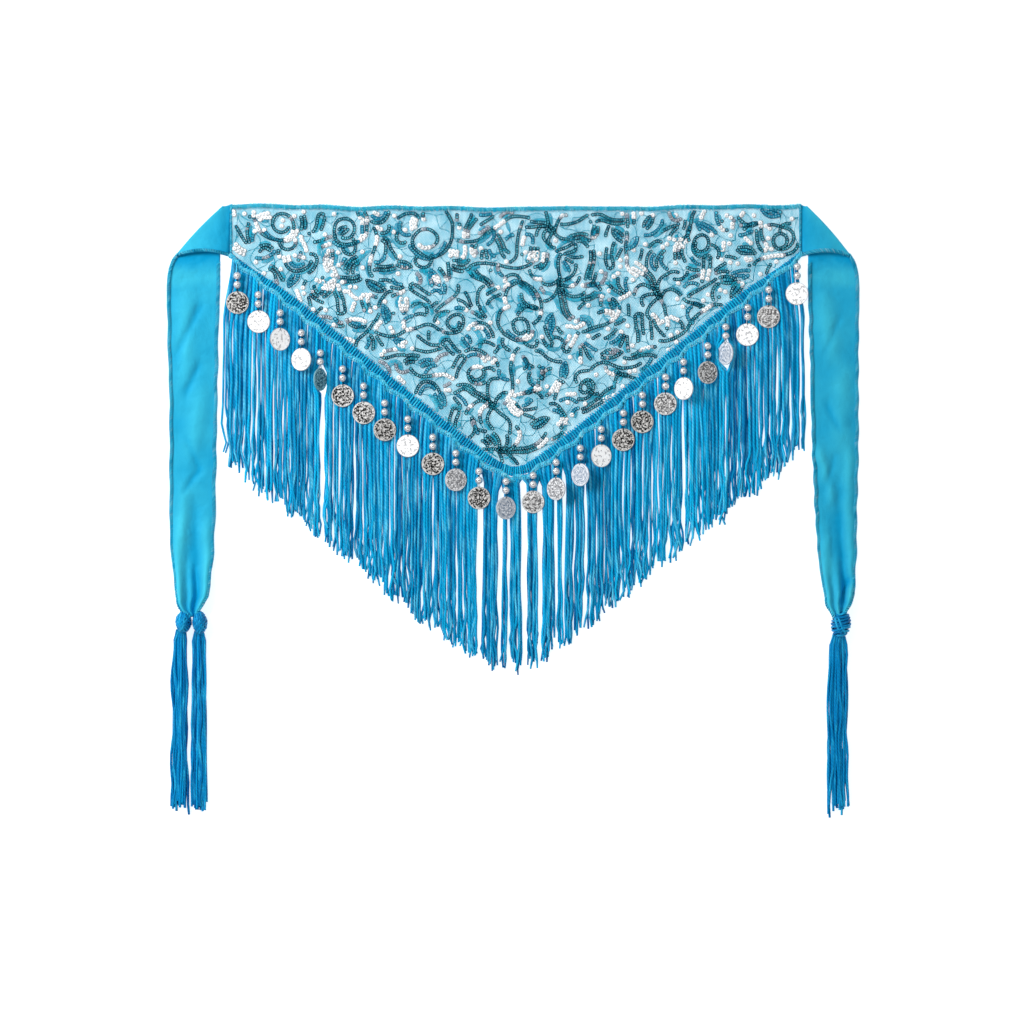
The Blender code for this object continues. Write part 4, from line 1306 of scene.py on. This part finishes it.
# How often a motif is tried and wanted, its kinds of sequin, and how readily it is sown in each third
Sowing = namedtuple("Sowing", "motif tries wanted kinds left middle right")
SOWINGS = (
    Sowing("scroll", 400, 5, "ink teal ink", 0.6, 1.0, 0.7),
    Sowing("hairpin", 500, 18, "ink ink teal", 0.6, 1.0, 0.9),
    Sowing("vine", 400, 12, "ink teal ink", 0.8, 1.0, 0.9),
    Sowing("branch", 260, 5, "ink ink teal", 0.4, 1.0, 0.6),
    Sowing("nest", 400, 9, "ink teal ink", 0.9, 1.0, 0.9),
    Sowing("curl", 300, 5, "ink teal ink", 0.8, 1.0, 0.9),
    Sowing("almond", 500, 16, "ink teal ink", 0.8, 1.0, 1.0),
    Sowing("almond", 500, 12, "teal teal ink", 0.9, 0.7, 1.0),
    Sowing("leaf", 300, 10, "ink teal teal", 0.8, 0.9, 0.9),
    Sowing("tuft", 400, 18, "ink teal ink", 0.9, 1.0, 0.9),
    Sowing("double wave", 360, 14, "ink", 0.8, 1.0, 0.7),
    Sowing("bunch", 360, 12, "ink", 0.5, 1.0, 0.8),
    Sowing("pair", 400, 15, "white", 1.0, 0.12, 0.26),
    Sowing("wave", 400, 22, "ink", 0.7, 1.0, 0.8),
    Sowing("arc", 500, 34, "teal", 1.0, 0.8, 1.0),
    Sowing("hook", 500, 30, "ink", 0.6, 1.0, 0.8),
    Sowing("arc", 260, 12, "lilac", 0.7, 1.0, 0.8),
    Sowing("run", 900, 56, "white", 1.0, 0.12, 0.32),
    Sowing("run", 700, 90, "ink", 0.8, 1.0, 0.8),
)
EDGE_CLEAR_TOP, EDGE_CLEAR_LOW, EDGE_CLEAR_SIDE = 0.0046, 0.0020, 0.0018
CELL, CLEAR_CELLS = 0.001, 3
BEND, BEND_SHORT, BEND_LONG = 0.085, 9.0, 30.0
SHORTEST_LINE, LEAST_SHOWN = 6, 0.62
SINGLES = 130
SATIN_BESIDE, SATIN_RUNS = 0.55, 250
# Where the shine field paints a dark sequin white, and how far below that it paints it lilac: a painted
# highlight
WHITE_FROM, LILAC_BELOW = 0.63, 0.22
SEQUIN_SIZES = {"ink": 0.00172, "teal": 0.00188, "white": 0.00225, "lilac": 0.00188}
SEQUIN_PITCHES = {"ink": 0.0020, "teal": 0.0021, "white": 0.0030, "lilac": 0.0022}
ARC_Z, DRAWN_Z, DRAWN_APART = 0.00100, 0.00112, 0.0105


def any_spot(draw):
    return draw.uniform(PANEL_LEFT, PANEL_RIGHT), draw.uniform(TIP_Y, TOP_EDGE)


def in_panel(x, y):
    """True where embroidery fits on the net, inside its edging and above the heading."""
    if not PANEL_LEFT + EDGE_CLEAR_SIDE < x < PANEL_RIGHT - EDGE_CLEAR_SIDE:
        return False
    low = edge_middle(x) + HEADING_RISE * end_share(x) + EDGE_CLEAR_LOW
    return low < y < top_line(x) - EDGE_CLEAR_TOP


def stroke_points(stroke, origin, turn, size, mirror, bend):
    """A stroke as points 1 mm apart: its curl changes evenly along it, and wanders a little."""
    rows = []
    for row in range(stroke.rows):
        side = (row - (stroke.rows - 1) / 2) * ROW_PITCH * 1000
        angle = radians(stroke.heading)
        x, y = stroke.x - side * sin(angle), stroke.y + side * cos(angle)
        count = int(stroke.long * size)
        points = []
        for i in range(count):
            curl = mix(stroke.curl_start, stroke.curl_end, i / max(count - 1, 1)) + bend(i)
            curl = curl / (1 - curl * side) if abs(curl * side) < 0.8 else curl
            flat_x = -x if mirror else x
            along, across = flat_x * cos(turn) - y * sin(turn), flat_x * sin(turn) + y * cos(turn)
            points.append((origin[0] + along * CELL, origin[1] + across * CELL))
            x += cos(angle)
            y += sin(angle)
            angle += curl / size
        rows.append(points)
    return rows


class Sown:
    """The ground that sewn lines already cover, in cells of one millimetre."""

    def __init__(self):
        self.covered = set()

    def free(self, x, y):
        return in_panel(x, y) and (round(x / CELL), round(y / CELL)) not in self.covered

    def longest_free(self, points):
        """The longest part of a line that lies on free ground."""
        best, run = [], []
        for point in points:
            run = [*run, point] if self.free(*point) else []
            best = run if len(run) > len(best) else best
        return best

    def cover(self, lines, clear=CLEAR_CELLS):
        reach = range(-clear, clear + 1)
        near = [(i, j) for i in reach for j in reach if i * i + j * j <= clear * clear]
        for points in lines:
            for x, y in points:
                column, row = round(x / CELL), round(y / CELL)
                self.covered.update((column + i, row + j) for i, j in near)


def shine(draw):
    """A smooth random field over the net. Where it is high, the foil catches the light and shows pale."""
    waves = []
    for _ in range(8):
        angle, length = draw.uniform(0, pi), draw.uniform(0.016, 0.045)
        waves.append((cos(angle) * TURN / length, sin(angle) * TURN / length, draw.uniform(0, TURN)))
    return lambda x, y: sum(sin(a * x + b * y + start) for a, b, start in waves) / 2


def shown_kind(kind, x, y, field):
    """The look of one sequin of a line: dark, or in pale runs of painted highlight that are longer towards
    the left end.
    """
    if kind not in ("ink", "teal"):
        return kind
    share = panel_share(x)
    limit = WHITE_FROM + 0.55 * ease(share / 0.35) - 0.02 * ease((share - 0.65) / 0.2)
    level = field(x, y)
    # Painted highlight: a dark sequin is shown as a white one, or as a lilac one at the highlight's edge.
    if level > limit:
        return "white"
    return "lilac" if level > limit - LILAC_BELOW else kind


def favour(sowing, x):
    """How readily a motif is sown at x: the left, middle and right thirds differ."""
    share = panel_share(x)
    if share < 0.5:
        return mix(sowing.left, sowing.middle, ease((share - 0.15) / 0.25))
    return mix(sowing.middle, sowing.right, ease((share - 0.62) / 0.25))


def sow_motifs():
    """Scatters the motifs over the net, the large ones first, and returns lines by kind."""
    draw = random.Random(77)
    ground = Sown()
    lines = {"ink": [], "teal": [], "white": [], "lilac": []}
    for sowing in SOWINGS:
        done = 0
        kinds = sowing.kinds.split()
        for _ in range(sowing.tries):
            if done >= sowing.wanted:
                break
            x, y = any_spot(draw)
            turn, size, mirror = draw.uniform(0, TURN), draw.uniform(0.72, 1.25), draw.random() < 0.5
            if not in_panel(x, y) or draw.random() > favour(sowing, x):
                continue
            bend = wander(draw, BEND, BEND_SHORT, BEND_LONG)
            found, wished, shown = [], 0, 0
            for stroke in (Stroke(*row) for row in MOTIFS[sowing.motif]):
                for points in stroke_points(stroke, (x, y), turn, size, mirror, bend):
                    wished += len(points)
                    best = ground.longest_free(points)
                    if len(best) > SHORTEST_LINE:
                        found.append((kinds[stroke.kind], best))
                        shown += len(best)
            if shown < LEAST_SHOWN * wished:
                continue
            done += 1
            for kind, best in found:
                lines[kind].append(best)
            ground.cover([best for _, best in found])
    return lines, ground


def sequin_at(x, y, angle, shingle, draw):
    """One sequin: its place, its turn and its tone."""
    tilt = Euler((radians(draw.gauss(0, SEQUIN_TILT)), radians(shingle + draw.gauss(0, 3)), 0.0))
    turned = Euler((0.0, 0.0, angle)).to_matrix() @ tilt.to_matrix()
    return (x, y, SEQUIN_Z + draw.uniform(0, 0.0002)), tuple(turned.to_euler()), draw.random()


def sequins_on(points, kind, field, draw, places):
    """Sews overlapping sequins along a line of points 1 mm apart. Pale ones lie wider apart."""
    reach = len(points) - 1
    at = 0.0
    while at <= reach:
        k = min(int(at), reach - 1)
        here, there = points[k], points[k + 1]
        x, y = mix(here[0], there[0], at - k), mix(here[1], there[1], at - k)
        angle = atan2(there[1] - here[1], there[0] - here[0])
        shown = shown_kind(kind, x, y, field)
        places[shown].append(sequin_at(x, y, angle, SEQUIN_SHINGLE, draw))
        at += SEQUIN_PITCHES[shown] / CELL


def single_sequins(ground, draw, places):
    """Sequins on their own, of which fewer lie left of the middle."""
    count = 0
    while count < SINGLES:
        x, y = any_spot(draw)
        if not ground.free(x, y) or draw.random() > (0.2 if 0.3 < panel_share(x) < 0.62 else 1.0):
            continue
        kind = "ink" if draw.random() < 0.14 else "white"
        places[kind].append(sequin_at(x, y, draw.uniform(0, TURN), 0.0, draw))
        ground.cover([[(x, y)]], 2)
        count += 1


def embroidery():
    """Sequins in scrolls, leaves and scattered runs, with satin-stitched arcs and thin drawn threads."""
    draw = random.Random(5)
    lines, ground = sow_motifs()
    places = {kind: [] for kind in lines}
    field = shine(draw)
    for kind, strokes in lines.items():
        for points in strokes:
            sequins_on(points, kind, field, draw, places)
    single_sequins(ground, draw, places)
    for kind, spots in places.items():
        name = "sequins_" + kind
        grow(name, sequin_mesh(spots), SEQUINS, "sequin_" + kind, "net", Radius=SEQUIN_SIZES[kind])
    satin_arcs(draw, [points for strokes in lines.values() for points in strokes])
    drawn_threads(draw)


def part_beside(points, offset):
    """A line that runs beside another one, at an even distance."""
    beside = []
    for k, (x, y) in enumerate(points):
        before, after = points[max(k - 1, 0)], points[min(k + 1, len(points) - 1)]
        run_x, run_y = after[0] - before[0], after[1] - before[1]
        length = max(hypot(run_x, run_y), 1e-6)
        beside.append((x - run_y / length * offset, y + run_x / length * offset))
    return beside


def satin_arcs(draw, lines):
    """Loose cyan satin stitch: some runs beside the sequins, and some on their own."""
    runs = []
    for points in lines:
        if draw.random() < SATIN_BESIDE and len(points) > 9:
            first = draw.randrange(0, len(points) - 8)
            part = points[first : first + draw.randint(8, 26)]
            runs.append(part_beside(part, draw.choice((-1, 1)) * draw.uniform(0.0018, 0.0030)))
    while len(runs) < SATIN_RUNS:
        spot = any_spot(draw)
        curl = draw.choice((-1, 1)) * draw.uniform(0.05, 0.14)
        stroke = Stroke(0, 0, 0, draw.uniform(9, 30), curl, curl * 1.3)
        if in_panel(*spot):
            bend = wander(draw, BEND, BEND_SHORT, BEND_LONG)
            runs.append(stroke_points(stroke, spot, draw.uniform(0, TURN), 1.0, False, bend)[0])
    arcs = []
    for run in runs:
        points = [(*point, ARC_Z) for point in run if in_panel(*point)][::2]
        last = len(points) - 1
        if last >= 3:
            wide = draw.uniform(0.0013, 0.0026)
            thick = [wide * (0.35 + 0.65 * sin(pi * (0.08 + 0.84 * k / last))) for k in range(last + 1)]
            arcs.append((points, thick, draw.random()))
    grow("satin_stitched_arcs", line_mesh(arcs), CORDS, "satin_stitch", Flatness=0.30, Sides=8)


def drawn_threads(draw):
    """Thin threads that link the motifs in loose cells."""
    spots = []
    for _ in range(6000):
        x, y = any_spot(draw)
        if in_panel(x, y) and all(hypot(x - a, y - b) > DRAWN_APART for a, b in spots):
            spots.append((x, y))
    lines, joined = [], set()
    for i, (x, y) in enumerate(spots):
        nearest = sorted(range(len(spots)), key=lambda k: hypot(spots[k][0] - x, spots[k][1] - y))[1:4]
        for k in nearest:
            pair = min(i, k), max(i, k)
            if pair in joined:
                continue
            joined.add(pair)
            far_x, far_y = spots[k]
            bow = draw.uniform(-0.32, 0.32)
            line = []
            for share in steps(6):
                side = bow * sin(pi * share)
                along, across = mix(x, far_x, share), mix(y, far_y, share)
                line.append((along - (far_y - y) * side, across + (far_x - x) * side, DRAWN_Z))
            if all(in_panel(px, py) for px, py, _ in line):
                lines.append((line, draw.uniform(0.00022, 0.00034), draw.random()))
    grow("drawn_threads", line_mesh(lines), CORDS, "drawn_thread", "net", Sides=4)


# Coins and beads

COIN_FINISHES = (
    "dark bright bright bright teal antique antique dark bright dark pale dark grey "
    "speckled pale grey bright dark dark speckled bright speckled grey bright speckled bright"
).split()
DENT_RINGS, DENT_TURNS = (2, 3, 4, 5), (3, 5, 7, 9, 11)


def coin_height_at(share, angle, waves):
    """Relief of a coin's face, 0 to 1: a raised rim, a ring of pearls, and a rosette with dents."""
    rim = ease((share - 0.90) / 0.03)
    pearls = exp(-((share - 0.81) / 0.055) ** 2) * (0.45 + 0.55 * cos(28 * angle) ** 2)
    petals = exp(-((share - 0.48 - 0.10 * cos(8 * angle)) / 0.075) ** 2)
    heart = exp(-((share / 0.17) ** 4))
    dents = sum(size * sin(ring * share * 9 + turn * angle + start) for size, ring, turn, start in waves)
    face = 0.42 * (1 - rim) + 0.30 * pearls + 0.34 * petals + 0.26 * heart + dents * (1 - rim)
    return clamp(face + 0.92 * rim)


def coin_waves(draw):
    """Five waves of dents: their depth, how they run outwards and round, and where they start."""
    return [
        (draw.uniform(0.05, 0.12), draw.choice(DENT_RINGS), draw.choice(DENT_TURNS), draw.uniform(0, TURN))
        for _ in range(5)
    ]


def coin_mesh(name, seed, finish):
    """A stamped coin with a hole near its rim: relief on both faces."""
    waves = coin_waves(random.Random(seed))
    bm = bmesh.new()
    relief_layer, rim_layer = (bm.verts.layers.float.new(label) for label in ("relief", "rim"))
    hole = Vector((0.0, COIN_HOLE_UP, 0.0))
    rims = []
    for way in (1, -1):
        rings = []
        for i in range(1, COIN_RINGS + 1):
            share = i / COIN_RINGS
            ring = []
            for k in range(COIN_SPOKES):
                angle = TURN * k / COIN_SPOKES
                place = Vector((sin(angle), cos(angle), 0.0)) * share * COIN_RADIUS
                from_hole = (place - hole).length
                if from_hole < COIN_HOLE_RADIUS and i < COIN_RINGS:
                    place = hole + (place - hole).normalized() * COIN_HOLE_RADIUS
                near = exp(-((max(from_hole - COIN_HOLE_RADIUS, 0.0) / 0.0006) ** 2))
                height = mix(coin_height_at(share, angle, waves), 0.75, near)
                drop = COIN_EDGE_DROP if i == COIN_RINGS else 0
                place.z = way * (COIN_THICK / 2 - COIN_RELIEF * (1 - height) - drop)
                vert = bm.verts.new(place)
                vert[relief_layer], vert[rim_layer] = height, share
                ring.append(vert)
            rings.append(ring)
        middle = bm.verts.new((0.0, 0.0, way * (COIN_THICK / 2 - COIN_RELIEF * 0.3)))
        middle[relief_layer] = 0.7
        for k in range(COIN_SPOKES):
            bm.faces.new((middle, rings[0][(k + 1) % COIN_SPOKES], rings[0][k]))
        for inner, outer in zip(rings, rings[1:]):
            band(bm, inner, outer)
        rims.append(rings[-1])
    band(bm, *rims)
    return mesh_from(bm, name, finish)


def add_bead(bm, middle):
    """One round bead with its bore along Y, closed inside."""
    angles = [mix(radians(10), radians(170), share) for share in steps(BEAD_RINGS)]
    profile = [(BEAD_RADIUS * cos(angle), BEAD_RADIUS * sin(angle)) for angle in angles]
    profile.append((profile[-1][0] + 0.0003, BEAD_BORE * 0.7))
    profile.append((profile[0][0] - 0.0003, BEAD_BORE * 0.7))
    around = [TURN * k / BEAD_SPOKES for k in range(BEAD_SPOKES)]
    rings = [
        [bm.verts.new(middle + Vector((radius * cos(angle), along, radius * sin(angle)))) for angle in around]
        for along, radius in profile
    ]
    for ring, following in zip(rings, rings[1:] + rings[:1]):
        band(bm, ring, following)


def up(y):
    return Vector((0.0, y, 0.0))


def charm(number, coin, finish):
    """A coin and its two beads. Returns the thread that loops through the coin's hole."""
    name, string = f"coin_{number:02d}", f"bead_string_{number:02d}"
    mesh = coin_mesh(name, number, "coin_" + finish)
    turned = Euler((0.0, coin.turn, 0.0)).to_matrix().to_4x4()
    turned.translation = Vector((coin.x, coin.y, coin.z))
    mesh.transform(turned)
    keep_piece(name + "_stamped", mesh, [name])

    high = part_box(string)[1]
    bead_z = high.z - BEAD_RADIUS * (1 if high.z > TALL_BEAD else LOW_BEAD_SHARE)
    lower = Vector((coin.x, coin.y + BEAD_ABOVE_COIN, bead_z))
    upper = lower + up(BEAD_PITCH)
    bm = bmesh.new()
    add_bead(bm, upper)
    add_bead(bm, lower)
    keep_piece(f"beads_{number:02d}", mesh_from(bm, string, "bead_silver"), [string])

    hole = Vector((coin.x, coin.y + COIN_HOLE_UP, coin.z))
    front = Vector((sin(coin.turn), 0.0, cos(coin.turn))) * (COIN_THICK / 2 + THREAD_CLEAR)
    return [
        Vector((coin.x, high.y - 0.0006, HEADING_TOP_Z + THREAD_CLEAR)),
        upper + up(BEAD_RADIUS),
        upper,
        lower,
        lower - up(BEAD_RADIUS),
        hole + front + up(0.0032),
        hole + front + up(0.0006),
        hole,
        hole - front + up(0.0010),
        hole - front * 0.6 + up(0.0030),
        lower - up(BEAD_RADIUS - THREAD_CLEAR),
    ]


def charms():
    """Coins and beads on their threads."""
    placed = enumerate(zip(COINS, COIN_FINISHES), 1)
    threads = [(charm(number, coin, finish), THREAD_RADIUS, 0.0) for number, (coin, finish) in placed]
    grow("charm_threads", line_mesh(threads), CORDS, "sewing_thread", Sides=6)


# Knots and tassels

Knot = namedtuple("Knot", "name x y wide long deep hang spread cord seed windings lean", defaults=(0.0,))
Winding = namedtuple("Winding", "tilt swing count spacing")
BALL = Winding(40, 0, 8, 0.25), Winding(-46, 12, 7, 0.26), Winding(84, -8, 3, 0.24)
OVERHAND = Winding(8, 0, 8, 0.235), Winding(-52, 16, 2, 0.30)
KNOTS = (
    Knot("tassel_left_outer", -0.2890, -0.0965, 0.0073, 0.0097, 0.0082, -0.2928, 0.0077, 0.00088, 3, BALL),
    Knot("tassel_left_inner", -0.2747, -0.0972, 0.0067, 0.0104, 0.0078, -0.2759, 0.0073, 0.00088, 5, BALL),
    Knot(
        "tassel_right", 0.2876, -0.0984, 0.0092, 0.0122, 0.0082, 0.2850, 0.0096, 0.00115, 8, OVERHAND, 0.0010
    ),
)
RIM_LIFT = 0.00035
TASSEL_CORDS, TASSEL_END, TASSEL_CORD, TASSEL_LOOSE_BELOW = 28, -0.2570, 0.00112, 0.011
TASSEL_RAGGED, TASSEL_STRAY, TASSEL_STRAY_CHANCE, GOLDEN_SHARE = 0.0034, 0.008, 0.12, 0.618
LOOP_POINTS, CORE_POINTS, CORD_POINTS = 28, 10, 17


def winding_loops(knot, draw):
    """Loops of cord round a knot, in groups that lie side by side and cross the other groups."""
    loops = []
    cord = knot.cord
    centre = Vector((knot.x, knot.y, RIM_LIFT + knot.deep))
    size = Vector((knot.wide - cord, knot.long - cord, knot.deep - cord))
    for winding in knot.windings:
        facing = Euler((radians(winding.swing), radians(winding.swing), radians(winding.tilt))).to_matrix()
        for i in range(winding.count):
            offset = (i - (winding.count - 1) / 2) * winding.spacing
            radius = sqrt(max(1 - offset * offset, 0.04))
            wobble = draw.uniform(0, TURN)
            points = []
            for angle in (TURN * share for share in steps(LOOP_POINTS)):
                across = offset + 0.05 * sin(2 * angle + wobble)
                place = (facing @ Vector((radius * cos(angle), across, radius * sin(angle)))) * size
                place.x += knot.lean * place.y / knot.long
                points.append(centre + place)
            loops.append((points, cord * draw.uniform(0.92, 1.08), draw.uniform(0.1, 0.8)))
    return loops


def knot_core(knot):
    """The filling under the windings."""
    angles = [pi * share for share in steps(CORE_POINTS)]
    z, along = RIM_LIFT + knot.deep, knot.long - 0.0012
    points = [(knot.x + knot.lean * cos(angle), knot.y + along * cos(angle), z) for angle in angles]
    return points, [max(sin(angle), 0.08) * (min(knot.wide, knot.deep) - 0.0014) for angle in angles], 0.0


def tassel(knot):
    """A knot wound with cord over its core, and a loose bundle of cords that hangs from it, with painted
    shade on the cords that lie lower in the bundle.
    """
    draw = random.Random(knot.seed)
    lines = winding_loops(knot, draw)
    lines.append(knot_core(knot))
    root_y = knot.y - knot.long + 0.0030
    for i in range(TASSEL_CORDS):
        around = TURN * i * GOLDEN_SHARE
        out = sqrt((i + 0.5) / TASSEL_CORDS)
        across, high = out * cos(around), 0.5 + 0.5 * out * sin(around)
        foot = TASSEL_END + draw.gauss(0, TASSEL_RAGGED)
        foot -= TASSEL_STRAY if draw.random() < TASSEL_STRAY_CHANCE else 0
        wave = wander(draw, draw.uniform(0.0006, 0.0018), 0.04, 0.12, waves=2)
        flick = draw.gauss(0, 0.0010)
        start_x = mix(knot.x - knot.lean, knot.hang, 0.55) + across * knot.wide * 0.55
        points = []
        for share in steps(CORD_POINTS):
            y = mix(root_y, foot, share)
            loose = ease((root_y - y) / TASSEL_LOOSE_BELOW)
            full = (knot.spread - TASSEL_CORD) * (0.94 + 0.14 * share)
            x = mix(start_x, knot.hang + across * full, loose) + (wave(y) + flick * share**3) * loose
            z = mix(knot.deep + RIM_LIFT, 0.0010 + high * mix(0.0056, 0.0040, share), loose)
            points.append((x, y, z))
        # Painted shade: cords that lie lower in the bundle take darker tones.
        tone = clamp(draw.gauss(0.25 + 0.35 * high, 0.2))
        lines.append((points, TASSEL_CORD * draw.uniform(0.9, 1.1), tone))
    grow(knot.name + "_cords", line_mesh(lines), CORDS, "tassel_cord", replaced=[knot.name])


studio()
tie("tie_left", -1, SEAM_GAP - PANEL_LEFT, 0.2545, LEFT_ROWS, LEFT_TROUGHS, 41)
tie("tie_right", 1, PANEL_RIGHT + SEAM_GAP, 0.2575, RIGHT_ROWS, RIGHT_TROUGHS, 42)
panel()
fringe()
heading()
embroidery()
charms()
for knot in KNOTS:
    tassel(knot)
